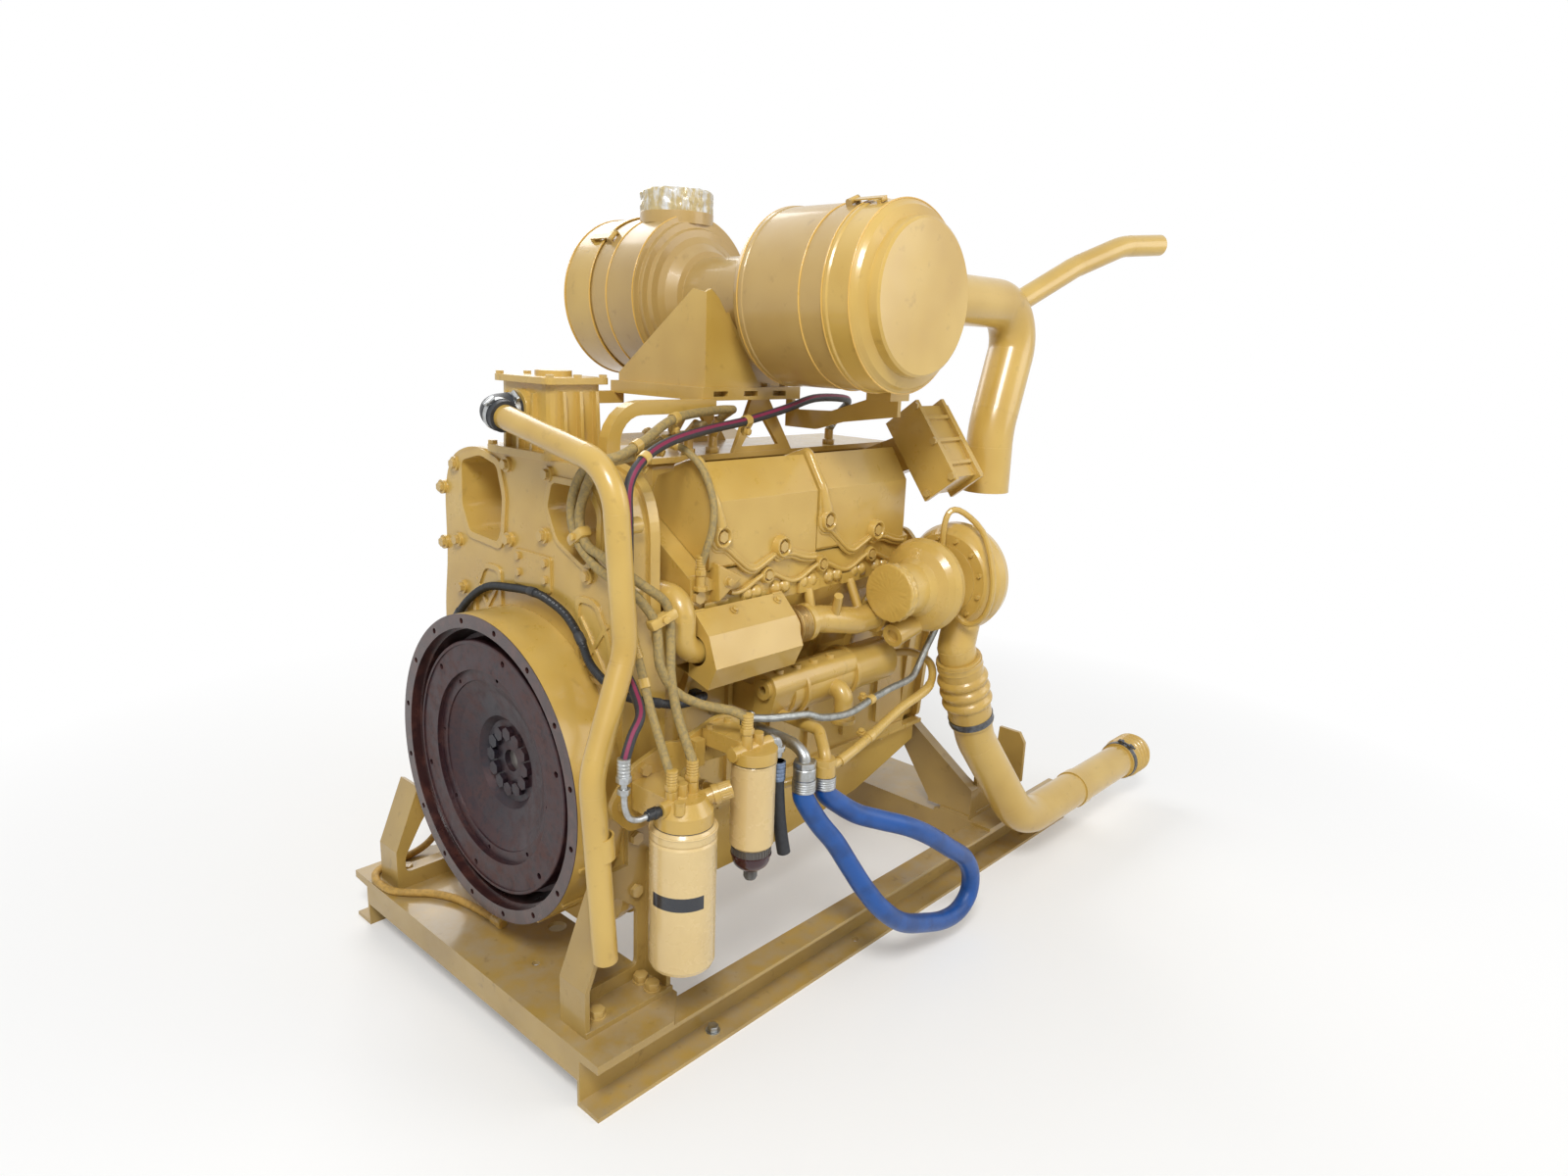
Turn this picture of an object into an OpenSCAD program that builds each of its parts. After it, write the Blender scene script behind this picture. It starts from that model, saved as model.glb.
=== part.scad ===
// Diesel power unit: V engine on a skid, flywheel end open, air cleaner on top.
// Millimetres. Origin: centre of the flywheel housing's flange face, on the crankshaft's axis.
// +X points to the front (damper) end, -Y to the side that carries the turbocharger and
// the filters, +Z up.

/* [Skid] */
// Length of the two skid rails
rail_length = 1937; // [1700:1:2400]
// Rear end of the rails
rail_rear = -77; // [-120:1:-60]
// Width over the rail flanges
skid_width = 1042; // [980:1:1300]
// Depth of the channel rails
rail_depth = 120; // [100:1:150]
// Width of the rail flanges
rail_flange = 69; // [50:1:80]
// Thickness of the rail web
rail_web = 7; // [5:0.5:10]
// Thickness of the rail flanges
rail_flange_t = 9; // [6:0.5:12]
// Height of the deck plate's top below the crankshaft
deck_drop = 434.5; // [420:0.5:460]
// Thickness of the deck plate
deck_t = 9.5; // [6:0.5:14]
// Length of the deck plate
deck_length = 267; // [240:1:320]
// Radius of the holes in the rails' lower flanges
rail_hole_r = 9; // [6:0.5:12]

/* [Flywheel end] */
// Outer diameter of the housing's flange
flange_d = 711.2; // [690:0.1:740]
// Bolt circle of the housing's flange
flange_bolt_circle = 679.45; // [670:0.01:684]
// Number of holes in the housing's flange
flange_holes = 16; // [8:1:16]
// Radius of the holes in the housing's flange
flange_hole_r = 6.6; // [5:0.1:8]
// Pilot bore of the housing
pilot_d = 647.7; // [640:0.1:655]
// Depth of the flywheel housing
housing_depth = 120; // [110:1:150]
// Outer radius of the flywheel
flywheel_r = 294; // [285:0.5:300]
// Distance from the flange face to the flywheel's coupling face
coupling_face = 15.7; // [10:0.1:25]
// Diameter of the flywheel's coupling recess
recess_d = 571.5; // [560:0.1:575]
// Bolt circle of the coupling
coupling_circle = 542.92; // [530:0.01:550]
// Number of coupling bolt holes
coupling_holes = 6; // [4:1:12]
// Radius of the coupling bolt holes
coupling_hole_r = 7; // [5:0.1:9]
// Radius of the crankshaft's bolt circle
crank_bolt_circle_r = 67; // [55:0.5:75]
// Number of crankshaft bolts
crank_bolts = 12; // [6:1:12]

/* [Engine] */
// Distance between the flange face and the block's rear face
block_rear = 235; // [225:1:260]
// Length of the cylinder block
block_length = 1015; // [840:1:1250]
// Half width of the gear case
case_half = 350; // [345:1:380]
// Height of the gear case's top
case_top = 700; // [690:1:740]
// Radius of the crankshaft in the block
shaft_r = 60; // [45:0.5:70]
// Radial running clearance of the crankshaft and the turbocharger's shaft
run_gap = 0.06; // [0.02:0.01:0.1]
// Half width of the crankcase
crankcase_half = 250; // [240:1:260]
// Gap between pieces that seat without touching
seat_gap = 0.3; // [0.1:0.05:0.5]
// Wall of the cast covers
cover_wall = 6; // [4:0.5:9]
// Depth of the oil pan below its flange
pan_depth = 200; // [150:1:220]

/* [Turbocharger and pipes] */
// Side distance of the turbocharger's axis
turbo_side = 467; // [460:1:490]
// Height of the turbocharger's axis
turbo_height = 365; // [355:1:380]
// Largest radius of the turbine housing
turbine_r = 122; // [110:1:128]
// Largest radius of the compressor housing
compressor_r = 147; // [130:1:152]
// Radius of the turbocharger's shaft
rotor_r = 9; // [6:0.5:12]
// Outer radius of the exhaust pipe
exhaust_r = 32; // [26:0.5:36]
// Outer radius of the charge air pipe
charge_r = 55; // [48:0.5:58]
// Outer radius of the intake pipe
intake_r = 63.5; // [55:0.5:66]
// Outer radius of the breather pipe
breather_r = 25.4; // [20:0.1:28]
// Wall of the bent pipes
pipe_wall = 2.5; // [1.5:0.1:4]

/* [Air cleaner] */
// Radius of the air cleaner cans
can_r = 203; // [180:1:206]
// Height of the air cleaner's axis
can_height = 1060.5; // [1055:0.5:1100]
// Distance of the air cleaner's axis from the flange face
can_x = 735; // [725:1:745]
// Wall of the cans
can_wall = 2; // [1.2:0.1:3]

/* [Filters] */
// Radius of the fuel filter canister
filter_r = 68.5; // [60:0.5:70]
// Length of the fuel filter canister
filter_length = 315; // [250:1:330]
// Radius of the water separator
separator_r = 47.5; // [40:0.5:50]

/* [Finish] */
// Machine paint
paint = "#d9ac4a"; // [#d9ac4a, #c99a3a]
// Bare rusty iron
iron = "#4a2a2a"; // [#4a2a2a, #553333]
// Black rubber
rubber = "#202226"; // [#202226, #30343a]
// Zinc plated fittings
zinc = "#b9bcbe"; // [#b9bcbe, #9fa3a6]

/* [Hidden] */
NODES = ["skid_frame", "rear_support_near", "rear_support_far", "front_support", "fasteners",
  "flywheel_housing", "gear_case", "cylinder_block", "oil_pan", "head_near", "head_far",
  "cover_near_rear", "cover_near_front", "cover_far_rear", "cover_far_front", "front_cover",
  "inlet_manifold", "inlet_air_housing", "flywheel", "flywheel_bolts", "crankshaft",
  "vibration_damper", "heat_shield", "exhaust_manifold", "exhaust_manifold_far",
  "turbine_housing", "bearing_housing", "compressor_housing", "turbo_rotor", "outlet_cover",
  "turbo_oil_tube", "charge_hose", "clamps", "charge_pipe", "oil_cooler", "filter_plate",
  "filter_base", "fuel_filter", "priming_plunger", "separator_head", "water_separator",
  "separator_bowl", "drain_valve", "cleaner_can_near", "cleaner_can_far", "end_cover_near",
  "end_cover_far", "latch_near", "latch_far", "inlet_wrap", "cleaner_bracket", "intake_pipe",
  "breather_housing", "breather_elbow", "breather_pipe", "blue_hose", "drain_hose",
  "dark_hose", "fluid_lines", "wiring_loom"];
node = "all";
function on(name) = node == "all" || node == name;
$fn = 64;
tiny = 0.01;
deck_top = -deck_drop;
rail_top = deck_top - deck_t;
floor_z = rail_top - rail_depth;
rail_edge = skid_width / 2;
rail_front = rail_rear + rail_length;
rail_web_y = rail_edge - rail_flange;
block_front = block_rear + block_length;
case_front = block_rear;
head_rear = block_rear + 65;
head_front = block_front - 155;
cover_rear = head_rear + 54;
cover_gap = 4;
cover_length = (head_front - 35 - cover_rear - cover_gap) / 2;
cover_front = cover_rear + cover_length + cover_gap;
support_y = case_half;

// ----- helpers -----
function unit(v) = v / norm(v);

// Outline with each corner rounded by a short curve that starts r from the corner
function rounded(pts, r, n = 4) = [for (i = [0:len(pts) - 1])
  let (p = pts[i], a = pts[(i + len(pts) - 1) % len(pts)], b = pts[(i + 1) % len(pts)],
     s = p + unit(a - p) * r, e = p + unit(b - p) * r)
  for (k = [0:n]) let (t = k / n) s * (1 - t) * (1 - t) + p * 2 * t * (1 - t) + e * t * t];

// Outline completed by its mirror image: the points given lie on the side of positive x
function mirrored(p) = concat(p, [for (i = [len(p) - 1:-1:0]) [-p[i].x, p[i].y]]);

// Direction v turned as direction a turns to direction b
function carry(v, a, b) = let (c = cross(a, b), d = a * b)
  norm(c) < 1e-6 ? v : v * d + cross(c, v) + c * (c * v) / (1 + d);

// Smooth route through the points, n steps between neighbours
function smooth(p, n) = [for (i = [0:len(p) - 2])
  let (a = p[max(i - 1, 0)], b = p[i], c = p[i + 1], d = p[min(i + 2, len(p) - 1)])
  for (k = [0:n - (i == len(p) - 2 ? 0 : 1)]) let (t = k / n)
  0.5 * (2 * b + (c - a) * t + (2 * a - 5 * b + 4 * c - d) * t * t
    + (3 * b - a - 3 * c + d) * t * t * t)];

// Flexible line of radius r swept along the points
module line_along(points, r, sides = 8) {
  last = len(points) - 1;
  way = [for (i = [0:last])
    unit(unit(points[min(i + 1, last)] - points[min(i, last - 1)])
      + unit(points[max(i, 1)] - points[max(i - 1, 0)]))];
  first_side = unit(cross(way[0], abs(way[0].z) > 0.9 ? [1, 0, 0] : [0, 0, 1]));
  sides_v = [for (i = 0, v = first_side; i <= last;
    i = i + 1, v = i <= last ? carry(v, way[i - 1], way[i]) : v) v];
  rings = [for (i = [0:last]) for (k = [0:sides - 1]) points[i]
    + r * (cos(360 * k / sides) * sides_v[i] + sin(360 * k / sides) * cross(way[i], sides_v[i]))];
  polyhedron(points = rings, faces = concat(
    [[for (k = [0:sides - 1]) k]],
    [for (i = [0:last - 1]) for (k = [0:sides - 1])
      [i * sides + k, (i + 1) * sides + k,
       (i + 1) * sides + (k + 1) % sides, i * sides + (k + 1) % sides]],
    [[for (k = [sides - 1:-1:0]) last * sides + k]]));
}

// Turns +Z to the direction and moves it to the point
module aim(p, dir) {
  d = unit(dir);
  translate(p) rotate([0, acos(d.z), atan2(d.y, d.x)]) children();
}

// Round bar from a to b
module rod(a, b, r) aim(a, b - a) cylinder(h = norm(b - a), r = r);

// Ring or tube from a to b
module tube(a, b, r, bore) difference() {
  rod(a, b, r);
  rod(a - unit(b - a), b + unit(b - a), bore);
}

// Bent pipe: straight runs between the corners, a round bend of the given radius at each.
// Runs reach a little into the bends, which are a hair thinner, so that they join as one.
module bent_pipe(corners, bend, r) {
  last = len(corners) - 1;
  cut = [for (i = [0:last]) i == 0 || i == last ? 0 : let (
    a = unit(corners[i] - corners[i - 1]), b = unit(corners[i + 1] - corners[i]))
    bend[i - 1] * tan(acos(a * b) / 2)];
  for (i = [0:last - 1]) let (d = unit(corners[i + 1] - corners[i]))
    rod(corners[i] + d * max(cut[i] - 0.6, 0), corners[i + 1] - d * max(cut[i + 1] - 0.6, 0), r);
  for (i = [1:last - 1]) {
    a = unit(corners[i] - corners[i - 1]);
    b = unit(corners[i + 1] - corners[i]);
    n = unit(cross(a, b));
    out = cross(a, n);
    start = corners[i] - a * cut[i];
    m = [[out.x, a.x, n.x, start.x - out.x * bend[i - 1]],
       [out.y, a.y, n.y, start.y - out.y * bend[i - 1]],
       [out.z, a.z, n.z, start.z - out.z * bend[i - 1]], [0, 0, 0, 1]];
    multmatrix(m) rotate_extrude(angle = acos(a * b)) translate([bend[i - 1], 0]) circle(r - 0.3);
  }
}

// Outline of a folded sheet: the outer line's points and the sheet's thickness
function folded(pts, t) = let (last = len(pts) - 1,
  side = [for (i = [0:last - 1]) let (d = unit(pts[i + 1] - pts[i])) [-d.y, d.x]],
  inner = [for (i = [0:last]) let (a = side[max(i - 1, 0)], b = side[min(i, last - 1)])
    pts[i] + t * (a + b) / (1 + a * b)])
  concat(pts, [for (i = [last:-1:0]) inner[i]]);

// Extrusions of an outline: along X the outline is (y, z), along Y it is (x, z)
module along_x(x0, x1) translate([x0, 0, 0]) rotate([90, 0, 90]) linear_extrude(x1 - x0) children();
module along_y(y0, y1) translate([0, y1, 0]) rotate([90, 0, 0]) linear_extrude(y1 - y0) children();
module along_z(z0, z1) translate([0, 0, z0]) linear_extrude(z1 - z0) children();

// Turned piece: the profile is (distance from the axis, height along dir)
module turned(p, dir) aim(p, dir) rotate_extrude() children();

// Both sides of the engine
module both() {
  children();
  mirror([0, 1, 0]) children();
}

// A bolt is [seat point, direction its head points, thread diameter]
module bolt(b) {
  d = b[2];
  aim(b[0], b[1]) {
    cylinder(h = 0.65 * d, r = 0.95 * d, $fn = 6);
    translate([0, 0, -1.4 * d]) cylinder(h = 1.4 * d + tiny, r = d / 2 - 0.2);
  }
}
module bolt_hole(b) aim(b[0] - unit(b[1]) * (1.4 * b[2] + 1), b[1])
  cylinder(h = 1.4 * b[2] + 4, r = b[2] / 2 + 0.3);
module bolt_holes(bolts) for (b = bolts) bolt_hole(b);

function ring_bolts(centre, r, count, start, dir, d, u, v) = [for (i = [0:count - 1])
  let (a = start + 360 * i / count) [centre + r * (cos(a) * u + sin(a) * v), dir, d]];

// ----- skid -----
pad_rear = block_front + 120;
pad_front = pad_rear + 230;
rail_hole_x = [267, 778, 1629];
deck_chamfer = 70;

module rail_outline() polygon([
  [rail_web_y, floor_z], [rail_edge, floor_z], [rail_edge, floor_z + rail_flange_t],
  [rail_web_y + rail_web, floor_z + rail_flange_t + 3],
  [rail_web_y + rail_web, rail_top - rail_flange_t - 3],
  [rail_edge, rail_top - rail_flange_t], [rail_edge, rail_top], [rail_web_y, rail_top]]);

module skid_frame() color(paint) difference() {
  union() {
    both() along_x(rail_rear, rail_rear + rail_length) rail_outline();
    deck();
    front_cross_member();
  }
  for (x = rail_hole_x) both() translate([x, rail_edge - 34, floor_z - 1])
    cylinder(h = rail_flange_t + 4, r = rail_hole_r);
  both() bolt_holes(concat(support_foot_bolts, front_foot_bolts));
  translate([150, -60, rail_top - 1]) cylinder(h = deck_t + 2, r = 22);
  translate([30, -150, rail_top - 1]) cylinder(h = deck_t + 2, r = 9);
}

module deck() {
  x1 = rail_rear + deck_length;
  along_z(rail_top, deck_top) polygon([
    [rail_rear, -rail_edge], [x1 - deck_chamfer, -rail_edge], [x1, -rail_edge + deck_chamfer],
    [x1, rail_edge - deck_chamfer], [x1 - deck_chamfer, rail_edge], [rail_rear, rail_edge]]);
  for (x = [rail_rear, x1 - 8]) along_x(x, x + 8)
    translate([-rail_web_y, rail_top - 60]) square([2 * rail_web_y, 60]);
}

module front_cross_member() {
  along_y(-rail_web_y, rail_web_y) polygon([
    [pad_rear, rail_top], [pad_front, rail_top], [pad_front, rail_top - 90],
    [pad_front - 8, rail_top - 90], [pad_front - 8, rail_top - 9],
    [pad_rear + 8, rail_top - 9], [pad_rear + 8, rail_top - 90], [pad_rear, rail_top - 90]]);
  both() along_z(rail_top, deck_top) translate([pad_rear, 320])
    square([pad_front - pad_rear, rail_edge - 320]);
}

// ----- engine supports -----
foot_t = 12;
foot_top = deck_top + foot_t;
support_foot_bolts = [for (p = [[7, -408], [148, -378], [148, -416]]) [[p.x, p.y, foot_top], [0, 0, 1], 16]];
support_side_bolts = [for (z = [-205, -80, -30]) [[145, -support_y - 12, z], [0, -1, 0], 16]];

module rear_support() difference() {
  union() {
    along_z(deck_top, foot_top) translate([-45, -440]) square([232, 90]);
    along_y(-support_y - 12, -support_y) difference() {
      polygon([[-45, foot_top - 2], [187, foot_top - 2], [187, 0], [125, 0], [125, -140], [34, -140],
        [20, -170], [-45, -330]]);
      polygon(rounded([[-22, -392], [150, -392], [150, -250], [90, -200], [30, -260], [-22, -350]], 16));
    }
    along_x(175, 187) polygon([[-352, foot_top - 2], [-432, foot_top - 2], [-432, -330], [-385, -120], [-352, -120]]);
    rear_plate();
  }
  bolt_holes(support_foot_bolts);
  bolt_holes(support_side_bolts);
}

// Rear plate: upright at its foot, then leaning forward to its top
module rear_plate() along_y(-437, -support_y - 2) polygon([
  [-45, foot_top - 2], [-33, foot_top - 2], [-33, -332], [31, -174], [20, -170], [-45, -330]]);

module rear_support_near() color(paint) rear_support();
module rear_support_far() color(paint) mirror([0, 1, 0]) rear_support();

yoke_x = pad_rear + 5;
yoke_t = 36;
trunnion_r = 110;
front_foot_bolts = [for (x = [pad_rear + 90, pad_front - 60]) [[x, -400, foot_top], [0, 0, 1], 20]];

module front_support() color(paint) difference() {
  union() {
    along_x(yoke_x, yoke_x + yoke_t) yoke_outline();
    both() {
      along_z(deck_top, foot_top) translate([pad_rear, -445]) square([pad_front - pad_rear, 105]);
      for (y = [-440, -364]) along_y(y, y + 12) polygon([
        [yoke_x + yoke_t - 1, -290], [pad_front - 30, foot_top], [yoke_x + yoke_t - 1, foot_top]]);
      along_x(pad_front - 12, pad_front) polygon([[-490, -360], [-440, -360], [-440, foot_top],
        [-385, foot_top], [-400, -200], [-470, -200], [-490, -230]]);
    }
  }
  both() bolt_holes(front_foot_bolts);
  along_x(yoke_x - 1, yoke_x + yoke_t + 1) circle(trunnion_r + seat_gap);
}

// Yoke seen from the rear: a ring round the trunnion on two spread legs
module yoke_outline() {
  circle(trunnion_r + 45);
  difference() {
    polygon(mirrored([[445, foot_top], [445, -340], [190, -170], [150, 20]]));
    polygon(rounded(mirrored([[300, foot_top - 1], [130, -190]]), 20));
  }
}

// ----- flywheel housing and gear case -----
flange_r = flange_d / 2;
drum_bore = pilot_d / 2 - 5;
x_axis = [1, 0, 0];
y_axis = [0, 1, 0];
z_axis = [0, 0, 1];

module flywheel_housing() color(paint) difference() {
  union() {
    along_x(0, housing_depth) circle(flange_r);
    for (a = [200:20:340]) rotate([a - 90, 0, 0]) along_x(18, housing_depth)
      translate([-4, flange_r - 3]) square([8, 8]);
  }
  along_x(-1, 25) circle(pilot_d / 2);
  along_x(20, housing_depth - 12) circle(drum_bore);
  along_x(0, housing_depth + 1) circle(rear_seal_r + 12);
  for (i = [0 : flange_holes - 1]) rotate([360 * (i + 0.5) / flange_holes, 0, 0])
    translate([-1, flange_bolt_circle / 2, 0]) rotate([0, 90, 0]) cylinder(h = 33, r = flange_hole_r);
  starter_window();
}

// Opening in the far wall where a starter's pinion reaches the ring gear
module starter_window() along_x(34, housing_depth - 20)
  translate([240, -90]) square([flange_r - 231, 180]);

// Outline of the gear case seen from the rear (y, z), near side then far side
case_low = -262;
shoulder_y = 330;

// Outline set back by d on its sides and top, as the casting is between its two plates
module case_outline(d = 0) polygon(rounded(mirrored([[250, d - 345], [case_half, case_low + d],
  [case_half, 300 - d], [shoulder_y - d, 420], [shoulder_y - d, case_top - d - 110],
  [shoulder_y - d - 32, case_top - d - 32], [shoulder_y - d - 110, case_top - d]]), 40));

// The corners of an opening's raised rim
function spread(pts) = let (c = [for (k = [0, 1]) (max([for (p = pts) p[k]]) + min([for (p = pts) p[k]])) / 2])
  [for (p = pts) c + 1.17 * (p - c)];
hole_far = [[82, 520], [96, 492], [215, 500], [244, 560], [240, 664], [160, 684], [92, 668], [72, 600]];
hole_near = [[-102, 600], [-135, 535], [-230, 492], [-270, 540], [-275, 610], [-240, 655], [-120, 655]];
case_edge_bolts = [for (z = [-205, -80, -30]) [[case_front - 20, -case_half, z], -y_axis, 12]];
case_rear_bolts = [for (p = [[52, 674], [-105, 670], [272, 652], [272, 470], [-84, 535], [-240, 474],
  [258, 356], [50, 505], for (s = [-1, 1], z = [455, 590]) [s * (shoulder_y + 4), z]])
  [[housing_depth - 8, p.x, p.y], -x_axis, 12]];
pad_bolts = [for (p = [[12, 475], [-90, 475], [12, 438], [-90, 438]]) [[housing_depth - 5, p.x, p.y], -x_axis, 10]];

module case_bosses() for (b = case_rear_bolts)
  translate([housing_depth - 8, b[0].y, b[0].z]) rotate([0, 90, 0]) cylinder(h = 62, r = 17);

module gear_case() color(paint) difference() {
  union() {
    along_x(housing_depth, housing_depth + 22) case_outline();
    along_x(housing_depth + 20, case_front - 26) difference() {
      case_outline(8);
      case_pocket();
    }
    along_x(case_front - 26, case_front) case_outline();
    along_x(housing_depth - 5, housing_depth + 1) {
      polygon(rounded([[30, 410], [30, 490], [-108, 490], [-108, 410]], 8));
      polygon(rounded(spread(hole_far), 16));
      polygon(rounded(spread(hole_near), 16));
      d_cover(150, 330);
      mirror([1, 0]) d_cover(258, 322);
    }
    case_bosses();
  }
  along_x(housing_depth - 9, case_front + 1) {
    circle(rear_seal_r + 12);
    polygon(rounded(hole_far, 14));
    polygon(rounded(hole_near, 14));
  }
  along_x(housing_depth - 9, housing_depth) circle(flange_r + seat_gap);
  bolt_holes(case_rear_bolts);
  bolt_holes(pad_bolts);
  both() {
    bolt_holes(support_side_bolts);
    bolt_holes(case_edge_bolts);
  }
  bolt_holes(breather_bolts);
}

// Hollow of the case between its two plates, low enough to leave the accessory openings walled
module case_pocket() polygon(rounded(mirrored([[200, -300], [300, -180], [300, 290], [200, 420]]), 30));

// Raised D-shaped cover with crossed ribs, seen from the rear
module d_cover(y, z) translate([y, z]) {
  difference() {
    polygon(rounded([[-62, -75], [62, -75], [62, 20], [10, 105], [-62, 105]], 22));
    polygon(rounded([[-50, -63], [50, -63], [50, 17], [4, 93], [-50, 93]], 18));
  }
  for (a = [52, 128]) rotate(a) square([150, 9], center = true);
}

// ----- crankshaft line -----
rear_seal_r = 92;
flywheel_back = 96;
hub_face = 74;
nose_r = 42;
cover_depth = 110;
front_face = block_front + cover_depth;
trunnion_front = yoke_x + yoke_t + 6;
damper_x = trunnion_front + 4;
crank_bolt_list = ring_bolts([hub_face, 0, 0], crank_bolt_circle_r, crank_bolts, 0, -x_axis, 18, y_axis, z_axis);

module flywheel() color(iron) difference() {
  rotate([0, 90, 0]) rotate_extrude() polygon([[26, hub_face], [96, hub_face], [110, 58], [170, 44],
    [199, 31], [200, 27], [225.5, 27], [226, coupling_face], [recess_d / 2, coupling_face],
    [recess_d / 2, coupling_face - 3], [flywheel_r - 2, coupling_face - 3],
    [flywheel_r, coupling_face - 1], [flywheel_r, 66], [flywheel_r + 12, 66], [flywheel_r + 12, 90],
    [flywheel_r, 90], [flywheel_r, flywheel_back], [150, flywheel_back], [120, 104], [26, 104]]);
  bolt_holes(crank_bolt_list);
  for (i = [0 : coupling_holes - 1]) rotate([45 + 360 * i / coupling_holes, 0, 0])
    translate([0, coupling_circle / 2, 0]) rotate([0, 90, 0]) cylinder(h = 48, r = coupling_hole_r);
  for (i = [0:7]) rotate([7.5 + 45 * i, 0, 0])
    translate([0, 213, 0]) rotate([0, 90, 0]) cylinder(h = 44, r = 5);
}

module flywheel_bolts() color(iron) for (b = crank_bolt_list) bolt(b);

module crankshaft() color("#8f8a84") rotate([0, 90, 0]) rotate_extrude() polygon([
  [0, 88], [25.8, 88], [25.8, 104], [rear_seal_r, 104], [rear_seal_r, 135], [shaft_r, 140],
  [shaft_r, block_front - 20], [nose_r, block_front - 15], [nose_r, damper_x + 58], [0, damper_x + 58]]);

module vibration_damper() color(paint) translate([damper_x, 0, 0]) rotate([0, 90, 0]) rotate_extrude()
  polygon([[nose_r, 0], [70, 0], [80, 8], [108, 8], [108, 2], [176, 2], [178, 4], [178, 42], [176, 44],
    [108, 44], [108, 20], [100, 20], [96, 84], [88, 79], [96, 74], [88, 69], [96, 64], [88, 59],
    [30, 59], [30, 58], [nose_r, 58]]);

// ----- cylinder block, pan and heads -----
bank_tilt = 32.5;
deck_outer = [342, 372];
deck_width = 240;
head_out_z = 466;
joint_inner = deck_outer + [-192, 94 + 192 * tan(bank_tilt)];
deck_inner = deck_outer + deck_width * [-cos(bank_tilt), sin(bank_tilt)];
valley_z = 430;
pan_flange_z = -150;
crossover_z = 425;
crossover_x = block_rear + 33;

module block_outline() polygon(mirrored([[crankcase_half + 10, pan_flange_z],
  [crankcase_half + 10, pan_flange_z + 18], [crankcase_half, pan_flange_z + 18],
  [crankcase_half, 180], [330, 340], deck_outer, deck_inner, [deck_inner.x - 12, valley_z]]));

module cylinder_block() color(paint) difference() {
  union() {
    along_x(head_rear, head_front) block_outline();
    end_of_block(block_rear, head_rear + 1);
    end_of_block(head_front - 1, block_front);
    for (x = [head_rear + 60 : 150 : block_front - 60]) both() {
      along_x(x, x + 14) polygon([[crankcase_half - 2, -100], [crankcase_half + 14, -100],
        [crankcase_half + 14, 150], [320, 318], [crankcase_half - 2, 190]]);
      translate([x + 80, 0, 230]) rotate([-62, 0, 0]) translate([0, 0, 150]) cylinder(h = 170, r = 26);
    }
  }
  along_x(block_rear - 1, block_front + 1) circle(shaft_r + run_gap);
  along_x(block_rear - 1, block_rear + 1) circle(rear_seal_r + 12);
  both() bolt_holes(pan_bolts);
}

// Narrower end of the block, beyond the cylinder banks
module end_of_block(x0, x1) along_x(x0, x1) intersection() {
  block_outline();
  translate([-300, -400]) square([600, 400 + crossover_z - exhaust_r - 6]);
}

pan_front = block_front + cover_depth - 10;
pan_side = crankcase_half - 12;
pan_bolts = [for (x = [block_rear + 40 : 110 : block_front - 20])
  [[x, -crankcase_half - 1, pan_flange_z - 12], -z_axis, 10]];

module oil_pan() color(paint) difference() {
  union() {
    along_x(block_rear + 5, pan_front) translate([-crankcase_half - 10, pan_flange_z - 12])
      square([2 * crankcase_half + 20, 12]);
    along_y(-pan_side, pan_side) pan_profile(0);
    rod([720, -pan_side - 12, -300], [720, -pan_side + 8, -300], 24);
  }
  along_y(cover_wall - pan_side, pan_side - cover_wall) pan_profile(cover_wall);
  both() bolt_holes(pan_bolts);
}

module pan_profile(wall) polygon([
  [block_rear + 12 + wall, pan_flange_z - (wall > 0 ? -1 : 1)],
  [block_rear + 12 + wall, pan_flange_z - pan_depth * 0.94 + wall],
  [block_rear + 60 + wall, pan_flange_z - pan_depth + wall],
  [block_rear + block_length * 0.48, pan_flange_z - pan_depth + wall],
  [block_rear + block_length * 0.82, pan_flange_z - pan_depth * 0.78 + wall],
  [pan_front - 10 - wall, pan_flange_z - pan_depth * 0.35 + wall],
  [pan_front - 10 - wall, pan_flange_z - (wall > 0 ? -1 : 1)]]);

// Near bank pieces are drawn on the +Y side and mirrored
skirt_y = deck_outer.x + 1;
skirt_t = 9;
ridge = [300, case_top];

function cover_bolts(x0) = [for (p = [[30, 545], [225, 500]])
  [[x0 + p.x, -skirt_y - skirt_t - 6, p.y], -y_axis, 14]];
near_cover_bolts = concat(cover_bolts(cover_rear), cover_bolts(cover_front));
wave = 193;
side_boss_x = [for (i = [0:2]) head_rear + 242 + i * wave];
side_boss_z = 436;
head_side_bolts = [[[head_rear + 20, -deck_outer.x - 12, 420], -y_axis, 16],
  for (x = side_boss_x) [[x, -deck_outer.x - 8, side_boss_z], -y_axis, 12]];
port_x = [head_rear + 80, head_rear + 200, cover_front - 19, cover_front + 141];

module head() difference() {
  union() {
    along_x(head_rear, head_front) polygon([deck_outer, [deck_outer.x, head_out_z], joint_inner, deck_inner]);
    along_x(head_rear, head_rear + 40) polygon([[deck_outer.x - 5, 404], [deck_outer.x + 12, 404],
      [deck_outer.x + 12, 460], [deck_outer.x - 5, head_out_z]]);
    gusset();
    for (x = side_boss_x) rod([x, deck_outer.x - 4, side_boss_z], [x, deck_outer.x + 8, side_boss_z], 15);
    along_y(deck_outer.x - 1, deck_outer.x + 7) polygon(folded([for (x = [head_rear + 122 : 12 : head_front - 28])
      [x, side_boss_z - 16 + 15 * cos((x - side_boss_x[0]) * 360 / wave)]], 8));
  }
  for (b = concat(near_cover_bolts, head_side_bolts)) bolt_hole([[b[0].x, -b[0].y, b[0].z], y_axis, b[2]]);
}

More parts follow.
